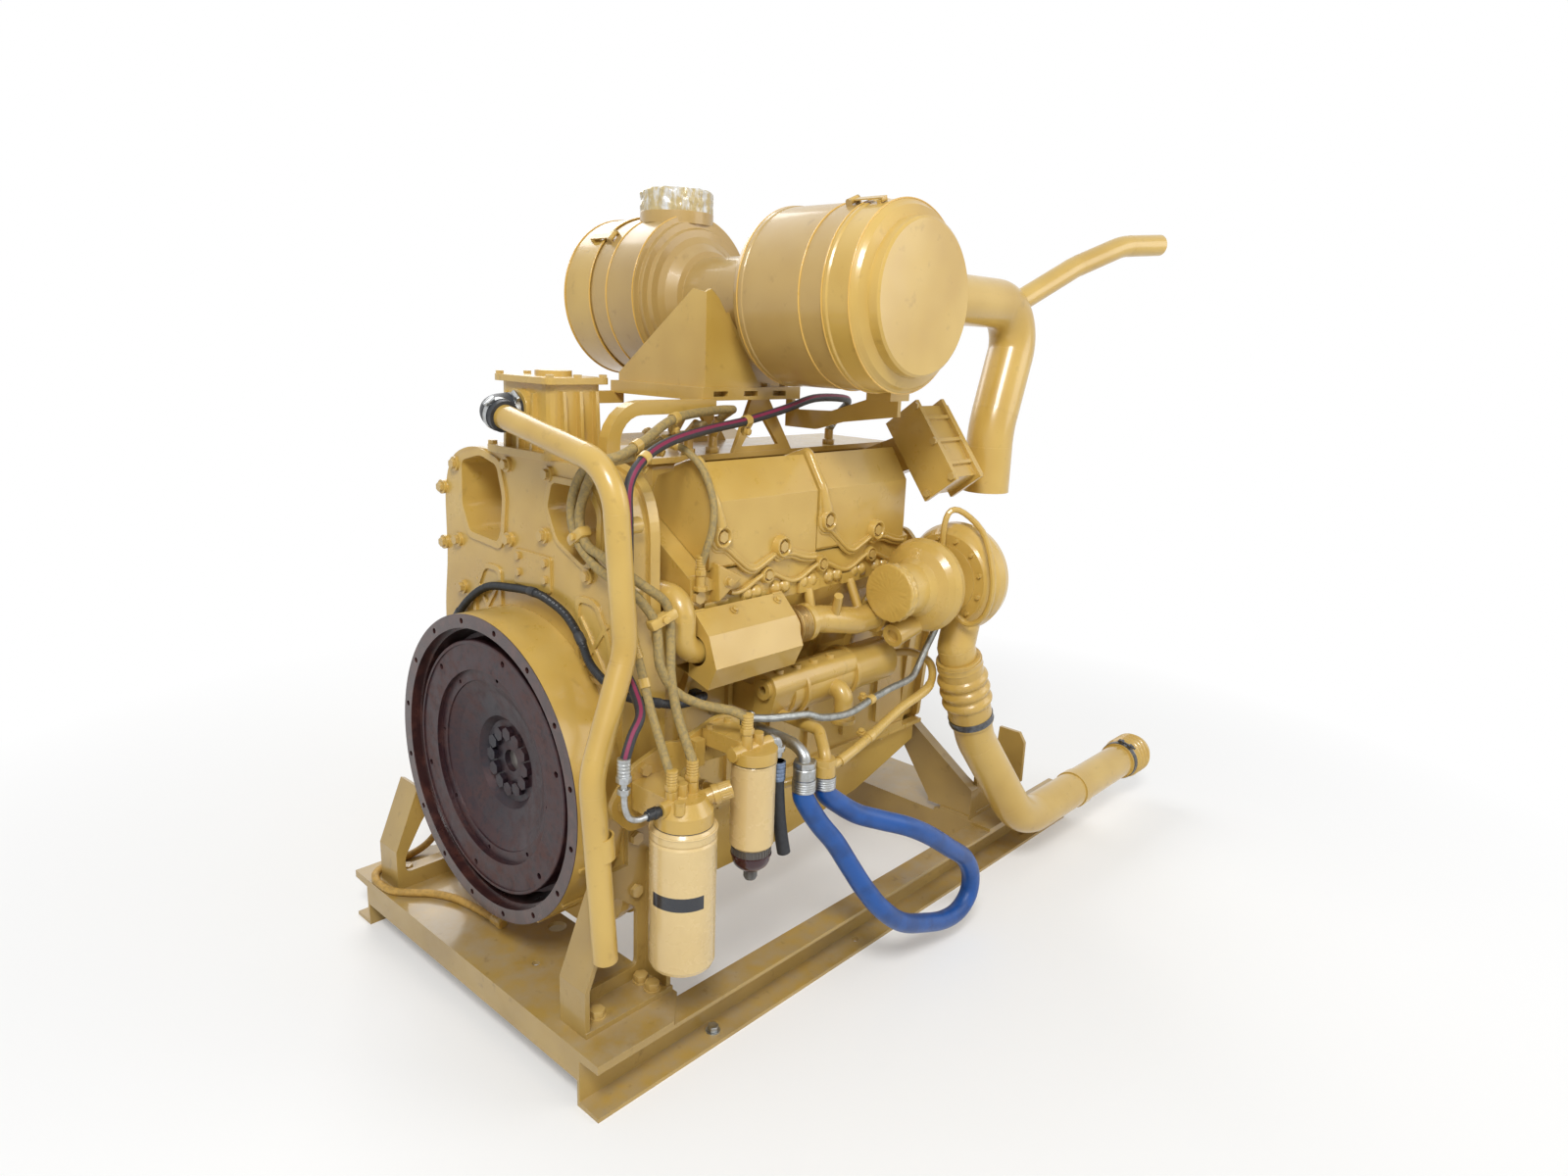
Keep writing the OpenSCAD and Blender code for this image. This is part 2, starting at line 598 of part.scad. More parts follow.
// Three-cornered rib on the head's side
module gusset() along_y(deck_outer.x - 1, deck_outer.x + 10)
  polygon([[head_rear + 42, 462], [head_rear + 46, 428], [head_rear + 115, 428]]);

module head_near() color(paint) mirror([0, 1, 0]) head();
module head_far() color(paint) head();

// Section of a valve cover (y, z)
module cover_section() polygon([[skirt_y, head_out_z + 2], [skirt_y + skirt_t, head_out_z + 12],
  [skirt_y + skirt_t, 620], ridge, [180, 660], joint_inner + [-2, 2]]);

// Lower edge of the cover's outer face: it dips between the bolt bosses (x from its rear end, z)
skirt_edge = concat([[0, 556]],
  [for (a = [180:15:270]) [30, 545] + 24 * [cos(a), sin(a)]],
  [[44, 522], [118, 466], [140, 460], [162, 468]],
  [for (a = [225:15:300]) [225, 500] + 22 * [cos(a), sin(a)]],
  [[250, 486], [330, 462], [cover_length, 462]]);

module cover(x0) difference() {
  union() {
    difference() {
      along_x(x0, x0 + cover_length) cover_section();
      along_x(x0 + cover_wall, x0 + cover_length - cover_wall) polygon([
        [skirt_y + skirt_t - cover_wall, head_out_z - 9], [skirt_y + skirt_t - cover_wall, 617],
        ridge + [-3, -8], [184, 651], joint_inner + [4, -8]]);
      below_joint();
    }
    translate([x0, 0, 0]) {
      along_y(skirt_y, skirt_y + skirt_t) polygon(concat([[0, 620]], skirt_edge, [[cover_length, 620]]));
      along_y(skirt_y + 2, skirt_y + skirt_t + 5) polygon(folded(skirt_edge, 8));
    }
    for (b = cover_bolts(x0)) rod([b[0].x, skirt_y, b[0].z], [b[0].x, skirt_y + skirt_t + 6, b[0].z], 21);
    along_x(x0, x0 + 14) polygon([[skirt_y + skirt_t - 1, 540], [skirt_y + skirt_t + 5, 546],
      [skirt_y + skirt_t + 5, 622], ridge + [5, 5], ridge + [-60, -12], [skirt_y + skirt_t - 20, 560]]);
  }
  for (b = cover_bolts(x0)) bolt_hole([[b[0].x, -b[0].y, b[0].z], y_axis, b[2]]);
}

// Everything under the plane where cover and head meet, inside the head's outer side
module below_joint() along_x(head_rear, head_front) polygon([[deck_outer.x + seat_gap, 300],
  [deck_outer.x + seat_gap, head_out_z], [deck_outer.x, head_out_z], joint_inner,
  joint_inner + [-60, 60 * tan(bank_tilt)], joint_inner + [-60, -300]]);

module cover_near_rear() color(paint) mirror([0, 1, 0]) cover(cover_rear);
module cover_near_front() color(paint) mirror([0, 1, 0]) cover(cover_front);
module cover_far_rear() color(paint) cover(cover_rear);
module cover_far_front() color(paint) cover(cover_front);

// ----- front end and inlet manifold -----
front_bolts = [for (p = [[-230, 300], [-270, 180], [-240, 0], [-230, -120]])
  [[front_face, p.x, p.y], x_axis, 14]];

module front_outline() polygon(rounded(mirrored([[245, pan_flange_z], [262, 60], [290, 300], [160, 430]]), 18));

module front_cover() color(paint) difference() {
  union() {
    along_x(block_front, block_front + 24) front_outline();
    along_x(block_front + 20, front_face - 14) polygon(rounded(mirrored([[225, pan_flange_z],
      [240, 60], [265, 290], [150, 408]]), 18));
    along_x(front_face - 16, front_face) front_outline();
    along_x(front_face - 1, trunnion_front) circle(trunnion_r);
    rod([front_face - 1, -120, 300], [front_face + 60, -120, 300], 75);
    rod([front_face + 58, -120, 300], [front_face + 90, -120, 300], 40);
  }
  along_x(block_front - 1, trunnion_front + 1) circle(shaft_r + 4);
  both() bolt_holes(front_bolts);
}

manifold_top = 690;
manifold_half = 118;
manifold_rear = head_rear + 90;
manifold_front = block_front + 30;

module inlet_manifold() color(paint) {
  along_x(manifold_rear, manifold_front) polygon(rounded([[-manifold_half, 520],
    [manifold_half, 520], [manifold_half, manifold_top - 14], [-manifold_half, manifold_top - 14]], 14));
  along_x(manifold_rear - 10, manifold_front - 5) translate([-manifold_half - 12, manifold_top - 14])
    square([2 * manifold_half + 24, 14]);
  for (x = [manifold_rear + 60 : 170 : head_front - 60]) along_x(x, x + 70)
    translate([-90, valley_z]) square([180, 100]);
}

housing_corner = [-272, 752];
housing_down = [-0.6, -0.8];
housing_out = [-0.8, 0.6];
housing_rear = head_front - 15;
housing_front = housing_rear + 155;

function slanted(w0, w1, t0, t1) = [for (q = [[w0, t0], [w0, t1], [w1, t1], [w1, t0]])
  housing_corner + housing_down * q.x + housing_out * q.y];

module inlet_air_housing() color(paint) difference() {
  union() {
    along_x(housing_rear, housing_rear + 14) polygon(slanted(-12, 227, -8, 107));
    along_x(housing_rear + 10, housing_front) polygon(slanted(0, 215, 4, 95));
    along_x(housing_front - 40, housing_front - 26) polygon(slanted(-12, 227, -4, 107));
    for (w = [40, 108, 176]) along_x(housing_rear + 10, housing_front - 30)
      polygon(slanted(w - 5, w + 5, 90, 104));
    along_x(housing_rear + 35, housing_front - 60) polygon([
      [-manifold_half, 560], [-manifold_half, 660], housing_corner + housing_down * 30 + housing_out * 10,
      housing_corner + housing_down * 130 + housing_out * 10]);
  }
  bolt_holes(housing_bolts);
}

housing_bolts = [for (q = [[2, 100], [213, 100], [108, 100], [213, 10]])
  [concat([housing_rear], [for (c = housing_corner + housing_down * q.x + housing_out * q.y) c]), -x_axis, 11]];

// ----- exhaust -----
log_y = 366;
log_z = 305;
bellows_rear = head_rear + 300;
bellows_front = bellows_rear + 48;
turbo_x = block_front - 390;
turbo = [turbo_x, -turbo_side, turbo_height];
foot_y = -392;
foot_z = 285;
foot_x = turbo_x + 45;
foot_r = 34;

// Branch from the exhaust pipe up to a port's flange on the head
module port_branch(x, y, z) {
  rod([x, y, z], [x, -deck_outer.x - 4, 380], 12);
  along_y(-deck_outer.x - 9, -deck_outer.x) translate([x, 387]) square([72, 26], center = true);
}

// Rear part that both manifolds share: the log and its half of the crossover
module exhaust_log(front) {
  rod([crossover_x + 60, -log_y, log_z], [front, -log_y, log_z], exhaust_r);
  bent_pipe([[crossover_x + 62, -log_y, log_z], [crossover_x, -log_y, log_z],
    [crossover_x, -log_y, crossover_z], [crossover_x, 0, crossover_z]], [46, 46], exhaust_r - 4);
}

module head_side_cut() along_y(-deck_outer.x, -deck_outer.x + 60)
  translate([head_rear, 300]) square([head_front, 200]);

module exhaust_manifold() color(paint) difference() {
  union() {
    exhaust_log(bellows_rear);
    rotate([0, 90, 0]) turn_bellows();
    bent_pipe([[bellows_front, -log_y, log_z], [bellows_front + 60, -log_y, log_z],
      [foot_x - 80, foot_y, foot_z], [foot_x, foot_y, foot_z]], [60, 60], foot_r);
    rod([turbo_x - 115, -390, log_z + 5], [turbo_x - 138, -418, log_z + 66], 11);
    rod([foot_x - 12, foot_y, foot_z], [foot_x, foot_y, foot_z], foot_r + 9);
    for (x = port_x) port_branch(x, x > foot_x - 80 ? foot_y : -log_y, x > foot_x - 80 ? foot_z : log_z);
  }
  head_side_cut();
}

// Bellows with two slip collars, turned about the exhaust pipe
module turn_bellows() translate([-log_z, -log_y, 0]) rotate_extrude() polygon(concat(
  [[0, bellows_rear - 16], [exhaust_r + 12, bellows_rear - 16],
   [exhaust_r + 12, bellows_rear - 2], [exhaust_r + 4, bellows_rear]],
  [for (i = [1:11]) [exhaust_r + (i % 2 == 0 ? 4 : 13), bellows_rear + i * 4]],
  [[exhaust_r + 4, bellows_front], [exhaust_r + 14, bellows_front + 2],
   [exhaust_r + 14, bellows_front + 18], [0, bellows_front + 18]]));

module exhaust_manifold_far() color(paint) mirror([0, 1, 0]) difference() {
  union() {
    exhaust_log(port_x[3] + 50);
    for (x = port_x) port_branch(x, -log_y, log_z);
  }
  head_side_cut();
}

// Folded sheet over the exhaust: outline (y, z) of the outer face
shield_rear = head_rear + 5;
shield_front = bellows_rear - 18;
shield_fold = [[-360, 392], [-408, 346], [-433, 278], [-408, 226], [-306, 256]];
sheet = 2.5;

module heat_shield() color(paint) {
  along_x(shield_rear, shield_front) polygon(folded(shield_fold, sheet));
  for (x = [shield_rear, shield_front - 32]) along_x(x, x + 30)
    polygon([[-342.3, 380], [-342.3, 388], [-359, 394], [-363, 390.5]]);
  for (x = [shield_rear, shield_front - sheet]) along_x(x, x + sheet) difference() {
    polygon(concat([[-346, 384]], [for (i = [0:3]) shield_fold[i] + [0.5, 0]], [[-346, 244]]));
    translate([-log_y, log_z]) circle(exhaust_r + 2);
  }
}

// ----- turbocharger -----
turbine_cavity = 58;
compressor_cavity = 62;
volute_x = turbo_x + 140;

module turn_turbo() translate(turbo) rotate([0, 90, 0]) rotate_extrude() children();
module rotate_turbo(a) translate([0, -turbo_side, turbo_height]) rotate([a, 0, 0]) children();
function from_turbo(x, y = 0, z = 0) = turbo + [x, y, z];

module turbine_housing() color(paint) difference() {
  union() {
    turn_turbo() polygon([[0, 0], [70, 0], [70, 14], [66, 16], [66, 80], [76, 98],
      [100, 110], [turbine_r - 8, 122], [turbine_r, 140], [turbine_r - 5, 160],
      [turbine_r - 22, 178], [86, 186], [86, 196], [0, 196]]);
    rod([foot_x, foot_y, foot_z], [volute_x + 18, foot_y, foot_z], foot_r);
    rod([foot_x, foot_y, foot_z], [foot_x + 14, foot_y, foot_z], foot_r + 9);
    rod(from_turbo(30, 5, -117), from_turbo(120, 5, -100), 30);
  }
  rod(from_turbo(-1), from_turbo(177), turbine_cavity);
  rod(from_turbo(-1), from_turbo(198), rotor_r + 8);
  rod(from_turbo(25, 5, -118), from_turbo(40, 5, -115), 17);
}

module bearing_housing() color(paint) difference() {
  union() {
    turn_turbo() polygon([[0, 196], [84, 196], [84, 204], [52, 206], [46, 222], [58, 236],
      [92, 238], [92, 240], [0, 240]]);
    rod(from_turbo(220, 0, 40), from_turbo(220, 0, 76), 17);
    rod(from_turbo(220, 0, -76), from_turbo(220, 0, -40), 19);
    for (a = [15:30:345]) rotate_turbo(a) translate([turbo_x + 204, 72, 0])
      rotate([0, 90, 0]) cylinder(h = 10, r = 7, $fn = 6);
  }
  rod(from_turbo(190), from_turbo(250), rotor_r + run_gap);
}

compressor_out = [turbo_x + 312, -500, 0];
hose_top = [turbo_x + 280, -505, 150];
hose_foot = [turbo_x + 356, -518, -50];
hose_dir = unit(hose_foot - hose_top);

module compressor_housing() color(paint) difference() {
  union() {
    turn_turbo() polygon([[0, 240.3], [compressor_r - 26, 240.3], [compressor_r - 20, 246],
      [compressor_r - 12, 258], [compressor_r - 2, 280], [compressor_r, 305], [compressor_r - 6, 328],
      [compressor_r - 24, 346], [compressor_r - 50, 352], [82, 356], [72, 366], [70, 392], [0, 392]]);
    rod([compressor_out.x, compressor_out.y, turbo_height - 30], hose_top - hose_dir * 36, 50);
    translate(hose_top - hose_dir * 36) sphere(49.6);
    rod(hose_top - hose_dir * 38, hose_top + hose_dir * 26, charge_r - 4);
    for (a = [15:30:345]) rotate_turbo(a) translate([turbo_x + 242, 110, 0])
      rotate([0, -90, 0]) cylinder(h = 9, r = 6, $fn = 6);
  }
  rod(from_turbo(262), from_turbo(402), compressor_cavity);
  rod(from_turbo(240), from_turbo(270), rotor_r + 4);
}

// Shaft with the turbine wheel and the compressor wheel
module turbo_rotor() color("#9a8f84") {
  turn_turbo() polygon([[0, 90], [14, 92], [20, 110], [24, 150], [44, 168], [44, 172], [12, 174],
    [rotor_r, 176], [rotor_r, 268], [52, 268], [52, 272], [22, 300], [15, 330], [10, 350], [0, 352]]);
  for (a = [0:36:324]) rotate_turbo(a) {
    along_y(-1.5, 1.5) polygon([[turbo_x + 104, 10], [turbo_x + 104, 50], [turbo_x + 160, 55],
      [turbo_x + 169, 55], [turbo_x + 169, 10]]);
    rotate([18, 0, 0]) along_y(-1, 1) polygon([[turbo_x + 270, 8], [turbo_x + 270, 58],
      [turbo_x + 284, 58], [turbo_x + 326, 44], [turbo_x + 326, 8]]);
  }
}

module outlet_cover() color(paint) turn_turbo() polygon([[0, -4], [66, -4], [74, 0], [75, 26],
  [74.5, 30], [66 + seat_gap, 31], [66 + seat_gap, 17], [70 + seat_gap, 14], [70 + seat_gap, -seat_gap], [0, -seat_gap]]);

oil_tube_way = [[220, 0, 76.8], [222, 0, 150], [236, -8, 185], [262, -30, 180], [262, -90, 140],
  [230, -140, 80], [222, -158, 0], [228, -136, -70], [224, -96, -100], [221, -60, -84], [220, -40, -60],
  [220, -20.2, -58]];

module turbo_oil_tube() color(paint) line_along(smooth([for (p = oil_tube_way) turbo + p], 3), 8);

// ----- charge air -----
charge_z = -401;
charge_way = [hose_foot - hose_dir * 24, hose_foot + hose_dir * 60, [turbo_x + 560, -590, charge_z],
  [rail_front + 245, -590, charge_z]];
strap_x = rail_front - 120;

module charge_hose() color(paint) difference() {
  turned(hose_top, hose_dir) polygon(concat(
    [[charge_r - 3.5, 0]], [[charge_r + 6, 0]], [[charge_r + 6, 34]],
    [for (i = [0 : 2], a = [0:30:180]) [charge_r + 6 + 9 * sin(a), 50 + 36 * i + 30 * a / 180]],
    [[charge_r + 6, norm(hose_foot - hose_top)], [charge_r - 3.5, norm(hose_foot - hose_top)]]));
  rod(hose_foot - hose_dir * 60, hose_foot + hose_dir, charge_r + seat_gap);
}

module charge_pipe() color(paint) difference() {
  union() {
    bent_pipe(charge_way, [150, 170], charge_r);
    translate([charge_way[3].x - 30, 0, 0]) end_hose();
  }
  bent_pipe([charge_way[0] - hose_dir, charge_way[1], charge_way[2], charge_way[3] + [50, 0, 0]],
    [150, 170], charge_r - pipe_wall);
}

// Bellows hose on the charge pipe's front end
module end_hose() translate([0, charge_way[3].y, charge_way[3].z]) rotate([0, 90, 0]) rotate_extrude()
  polygon(concat([[charge_r - 1, 0], [charge_r + 6, 0], [charge_r + 6, 30]],
    [for (i = [0 : 3], a = [0:30:180]) [charge_r + 6 + 8 * sin(a), 36 + 22 * i + 20 * a / 180]],
    [[charge_r + 6, 132], [charge_r - 1, 132]]));

module clamps() color(zinc) {
  band(hose_top + hose_dir * 8, hose_dir, charge_r + 6 + seat_gap, 20);
  band(hose_foot - hose_dir * 26, hose_dir, charge_r + 6 + seat_gap, 20);
  band([charge_way[3].x - 24, charge_way[3].y, charge_way[3].z], x_axis, charge_r + 6 + seat_gap, 20);
  pipe_strap();
}

// Band clamp with its T-bolt
module band(p, dir, r, w) aim(p, dir) {
  difference() {
    cylinder(h = w, r = r + 1.5);
    translate([0, 0, -1]) cylinder(h = w + 2, r = r);
  }
  for (s = [-1, 1]) translate([s * 14 - 3, -r - 14, 2]) cube([6, 14, w - 4]);
  translate([-32, -r - 8, w / 2]) rotate([0, 90, 0]) cylinder(h = 60, r = 4);
  translate([26, -r - 8, w / 2]) rotate([0, 90, 0]) cylinder(h = 8, r = 8, $fn = 6);
}

// Strap that holds the charge pipe against the near rail
module pipe_strap() along_x(strap_x, strap_x + 40) difference() {
  union() {
    translate([charge_way[3].y, charge_z]) circle(charge_r + 4);
    translate([charge_way[3].y + 15, rail_top + seat_gap]) square([25 - charge_way[3].y - rail_edge, 5]);
  }
  translate([charge_way[3].y, charge_z]) circle(charge_r + seat_gap);
}

// ----- oil cooler -----
cooler = [block_rear + 365, -345, 140];
cooler_r = 58;
cooler_length = 410;

module turn_cooler() translate(cooler) rotate([0, 90, 0]) rotate_extrude() children();

module oil_cooler() color(paint) difference() {
  union() {
    turn_cooler() polygon([[0, 0], [cooler_r, 0], [cooler_r, 36], [cooler_r + 9, 36], [cooler_r + 9, 46],
      [cooler_r, 46], [cooler_r, 226], [cooler_r + 9, 226], [cooler_r + 9, 236], [cooler_r, 236],
      [cooler_r, cooler_length - 8], [cooler_r - 8, cooler_length], [0, cooler_length]]);
    along_x(cooler.x - 72, cooler.x + 232) polygon(rounded([[-392, 118], [-405, 168], [-392, 196],
      [-348, 202], [-330, 190], [-330, 90], [-370, 80]], 10));
    rod([cooler.x - 82, -368, 165], [cooler.x - 70, -368, 165], 24);
    for (x = [cooler.x - 40, cooler.x + 116, cooler.x + 298]) along_y(-345, -crankcase_half)
      translate([x, 130]) square([60, 70], center = true);
    for (x = [cooler.x - 30 : 62 : cooler.x + 200]) rod([x, -372, 190], [x, -372, 206], 11);
    bent_pipe([[cooler.x + 150, -380, 126], [cooler.x + 150, -428, 126], [cooler.x + 150, -428, 46]], [27], 24);
    rod([cooler.x + 150, -428, 54], [cooler.x + 150, -428, 44], 31);
    hose_union(hose_b, [hose_b.x + 38, -360, 96]);
  }
  rod([cooler.x - 83, -368, 165], [cooler.x - 60, -368, 165], 10);
}

hose_a = [463, -556, 24];
hose_b = [533, -556, 10];

// Threaded union from the cooler to a hose's end
module hose_union(p, root) {
  bent_pipe([root, [root.x, -502, root.z - 4], p + [0, 0, 46], p + [0, 0, 20]], [26, 26], 14);
  rod(p, p + [0, 0, 26], blue_r + 1);
  translate(p + [0, 0, 26]) cylinder(h = 14, r = blue_r + 3, $fn = 6);
}

// ----- fuel filters -----
plate_y = -412;
plate_t = 12;
plate_bolts = [for (p = [[128, 98], [70, 36]]) [[p.x, plate_y, p.y], -y_axis, 14]];
filter_x = 135;
filter_y = -525;
filter_top = 20;
pump_dir = unit([85, -50, 27]);
pump_root = [168, -527, 56];
separator = [317, -540, 107];

module filter_plate() color(paint) difference() {
  union() {
    along_y(plate_y, plate_y + plate_t) polygon(rounded([[100, 112], [60, 70], [40, 40], [48, 12], [90, -30],
      [190, -30], [230, 70], [402, 60], [402, 152], [330, 160], [230, 130], [190, 140]], 14));
    for (p = [[140, 60], [200, 60]]) rod([p.x, plate_y + plate_t - 1, p.y], [p.x, -case_half, p.y], 16);
    along_y(plate_y - 20, plate_y) translate([250, 70]) square([28, 60]);
  }
  bolt_holes(plate_bolts);
  for (x = [290, 345]) translate([x, plate_y - 1, 96]) rotate([-90, 0, 0]) cylinder(h = 20, r = 11);
}

module filter_base() color(paint) difference() {
  union() {
    translate([filter_x, filter_y, filter_top]) cylinder(h = 30, r = 60);
    translate([filter_x, filter_y, filter_top + 30]) cylinder(h = 26, r1 = 60, r2 = 44);
    along_z(filter_top + 4, filter_top + 62) polygon(rounded([[90, plate_y], [186, plate_y],
      [178, filter_y], [92, filter_y]], 10));
    rod([73, filter_y, filter_top + 44], [filter_x, filter_y, filter_top + 44], 16);
    for (p = [[131, 34], [105, 26], [160, 30]]) rod([p.x, filter_y + 4, filter_top + 50],
      [p.x, filter_y + 4, filter_top + 50 + p.y], 13);
    rod([97, filter_y - 30, filter_top + 40], [97, filter_y - 30, filter_top + 66], 11);
    rod(pump_root, pump_root + pump_dir * 46, 17);
    rod(pump_root + pump_dir * 34, pump_root + pump_dir * 46, 21);
  }
  rod(pump_root + pump_dir * 2, pump_root + pump_dir * 50, pump_bore);
  translate([filter_x, filter_y, filter_top - 1]) cylinder(h = 22, r = 17);
}

pump_rod = 8;
pump_bore = pump_rod + run_gap;

module priming_plunger() color(paint) {
  rod(pump_root + pump_dir * 3, pump_root + pump_dir * 60, pump_rod);
  difference() {
    rod(pump_root + pump_dir * (46 + seat_gap), pump_root + pump_dir * 74, 19);
    for (i = [0:17]) aim(pump_root, pump_dir) rotate(20 * i) translate([19.5, 0, 50])
      cylinder(h = 20, r = 1.6, $fn = 4);
  }
}

module fuel_filter() color("#efd9a0") translate([filter_x, filter_y, filter_top]) difference() {
  rotate_extrude() polygon([[0, -filter_length], [filter_r - 14, -filter_length],
    [filter_r - 4, 5 - filter_length], [filter_r, 14 - filter_length], [filter_r, -32],
    [filter_r - 3, -27], [filter_r, -22], [filter_r, -8], [filter_r - 6, 0], [0, 0]]);
  translate([0, 0, -9]) cylinder(h = 10, r = 20);
}

separator_low = -87;
bowl_low = -146;

module separator_head() color(paint) difference() {
  union() {
    translate(separator) cylinder(h = 26, r = separator_r + 2);
    along_z(separator.z + 6, separator.z + 44) polygon(rounded([[282, plate_y], [352, plate_y],
      [350, separator.y + 6], [284, separator.y + 6]], 10));
    for (x = [260, 374]) rod([x, separator.y + 10, separator.z + 20], [317, separator.y + 10, separator.z + 20], 15);
    rod([300, separator.y + 6, separator.z + 20], [300, separator.y + 6, separator.z + 58], 12);
    rod([335, separator.y + 10, separator.z + 20], [335, separator.y + 10, separator.z + 52], 14);
    for (x = [290, 345]) rod([x, -430, separator.z + 25], [x, -430, separator.z + 52], 8);
  }
  translate(separator - z_axis) cylinder(h = 16, r = 12);
}

module water_separator() color("#efd9a0") translate([separator.x, separator.y, 0]) difference() {
  rotate_extrude() polygon([[0, separator_low], [separator_r - 4, separator_low],
    [separator_r, separator_low + 5], [separator_r, separator.z - 6], [separator_r - 4, separator.z],
    [0, separator.z]]);
  translate([0, 0, separator.z - 8]) cylinder(h = 9, r = 14);
}

module separator_bowl() color("#7c1f22") translate([separator.x, separator.y, 0]) difference() {
  rotate_extrude() polygon([[0, separator_low], [separator_r - 3, separator_low],
    [separator_r - 3, separator_low - 12], [separator_r - 9, separator_low - 16], [separator_r - 10, -128],
    [22, bowl_low + 4], [20, bowl_low], [0, bowl_low]]);
  translate([0, 0, bowl_low - 1]) cylinder(h = 18, r = 5 + run_gap);
}

module drain_valve() color(rubber) translate([separator.x, separator.y, bowl_low]) difference() {
  rotate_extrude() polygon([[0, -24], [12, -24], [15, -18], [15, -seat_gap], [5, -seat_gap], [5, 14], [0, 14]]);
  for (i = [0:5]) rotate(60 * i) translate([16, 0, -19]) cylinder(h = 30, r = 2.5);
}

// ----- air cleaner -----
cleaner = [can_x, 0, can_height];
near_end = -604.5;
near_band = -488.5;
near_inner = -218;
far_inner = 111;
far_band = 304;
far_end = 459;
neck_r = 100;
joint_y = -55;
stub_x = can_x + can_r + 52;
stub_z = can_height + 19.5;
intake_y = -415;

// Turned about the cleaner's axis; the profile is (radius, y)
module turn_cleaner() translate(cleaner) rotate([90, 0, 0]) mirror([0, 0, 1]) rotate_extrude() children();

module cleaner_can_near() color(paint) difference() {
  union() {
    turn_cleaner() polygon([[0, near_band + 0.2], [can_r - 2, near_band + 0.2], [can_r - 2, near_band + 8],
      [can_r, near_band + 8], [can_r, near_inner - 34], [can_r + 2, near_inner - 32],
      [can_r + 2, near_inner - 22], [can_r, near_inner - 20], [can_r - 6, near_inner], [168, near_inner],
      [164, near_inner + 16], [neck_r + 26, near_inner + 24], [neck_r, near_inner + 50],
      [neck_r, joint_y], [0, joint_y]]);
    rod([can_x + 60, intake_y, stub_z], [stub_x, intake_y, stub_z], intake_r - pipe_wall - seat_gap);
    latch_ears(near_band, -1);
  }
  turn_cleaner() polygon([[0, near_band], [can_r - can_wall - 2, near_band],
    [can_r - can_wall - 2, near_inner - 26], [can_r - 12, near_inner - 6], [160, near_inner - 6],
    [neck_r - can_wall, near_inner + 44],
    [neck_r - can_wall, joint_y + 1], [0, joint_y + 1]]);
  rod([can_x + 60, intake_y, stub_z], [stub_x + 1, intake_y, stub_z], intake_r - 2 * pipe_wall - seat_gap);
}

stub_y = 200;
stub_r = 89;
stub_top = can_height + can_r + 62;

module cleaner_can_far() color(paint) difference() {
  union() {
    turn_cleaner() polygon([[0, joint_y], [neck_r, joint_y], [neck_r, 60], [neck_r + 14, 66],
      [neck_r + 34, 90], [150, far_inner - 12], [168, far_inner - 10], [172, far_inner], [188, far_inner + 2],
      [190, far_inner + 14], [can_r, far_inner + 16], [can_r, far_band - 8], [can_r - 2, far_band - 8],
      [can_r - 2, far_band - 0.2], [0, far_band - 0.2]]);
    translate([can_x, stub_y, can_height + 100]) cylinder(h = stub_top - can_height - 100, r = stub_r);
    translate([can_x, stub_y, can_height + can_r - 22]) cylinder(h = 30, r = stub_r + 6);
    latch_ears(far_band, 1);
  }
  turn_cleaner() polygon([[0, joint_y - 1], [neck_r - can_wall, joint_y - 1], [neck_r - can_wall, 66],
    [150, far_inner - 4], [184, far_inner + 20], [can_r - can_wall - 2, far_inner + 20],
    [can_r - can_wall - 2, far_band], [0, far_band]]);
  translate([can_x, stub_y, can_height + 100]) cylinder(h = 300, r = stub_r - can_wall);
}

latch_angle = 112;
latch_w = 26;
latch_pivot_in = 34;

// End cover: flat face, stepped rim, band that meets the can, keeper for the latch
module end_cover(band_y, end_y) {
  s = end_y > band_y ? 1 : -1;
  turn_cleaner() polygon([[0, end_y], [can_r - 42, end_y], [can_r - 36, end_y - s * 4],
    [can_r - 34, end_y - s * 26], [can_r - 12, end_y - s * 34], [can_r - 6, end_y - s * 42],
    [can_r, end_y - s * 48], [can_r, band_y + s * 12], [can_r + 3, band_y + s * 8], [can_r + 3, band_y],
    [can_r - can_wall - 2, band_y], [can_r - can_wall - 2, end_y - s * 50], [can_r - 40, end_y - s * 30],
    [can_r - 46, end_y - s * can_wall], [0, end_y - s * can_wall]]);
  latch_frame(s) translate([can_r - 2, s > 0 ? band_y + 38 : band_y - 46, -latch_w / 2])
    cube([10, 8, latch_w]);
}

// Places a child drawn at +X of the cleaner's axis at the latch's angle
module latch_frame(s) translate(cleaner) rotate([0, s > 0 ? -latch_angle - 25 : -latch_angle, 0]) children();

module end_cover_near() color(paint) end_cover(near_band, near_end);
module end_cover_far() color(paint) end_cover(far_band, far_end);

// Toggle latch that swings about a pin on the can; s is the side its cover lies on
module latch(band_y, s) latch_frame(s) {
  pin_y = band_y - s * latch_pivot_in;
  difference() {
    union() {
      translate([can_r + 9, pin_y, -latch_w / 2]) cylinder(h = latch_w, r = 7);
      translate([can_r + 9, s > 0 ? pin_y : pin_y - 84, -latch_w / 2 + 4]) cube([3, 84, latch_w - 8]);
      translate([can_r + 2.5, s > 0 ? pin_y + 81 : pin_y - 84, -latch_w / 2 + 4]) cube([7, 3, latch_w - 8]);
    }
    translate([can_r + 9, pin_y, -latch_w]) cylinder(h = 2 * latch_w, r = 3 + run_gap);
  }
}

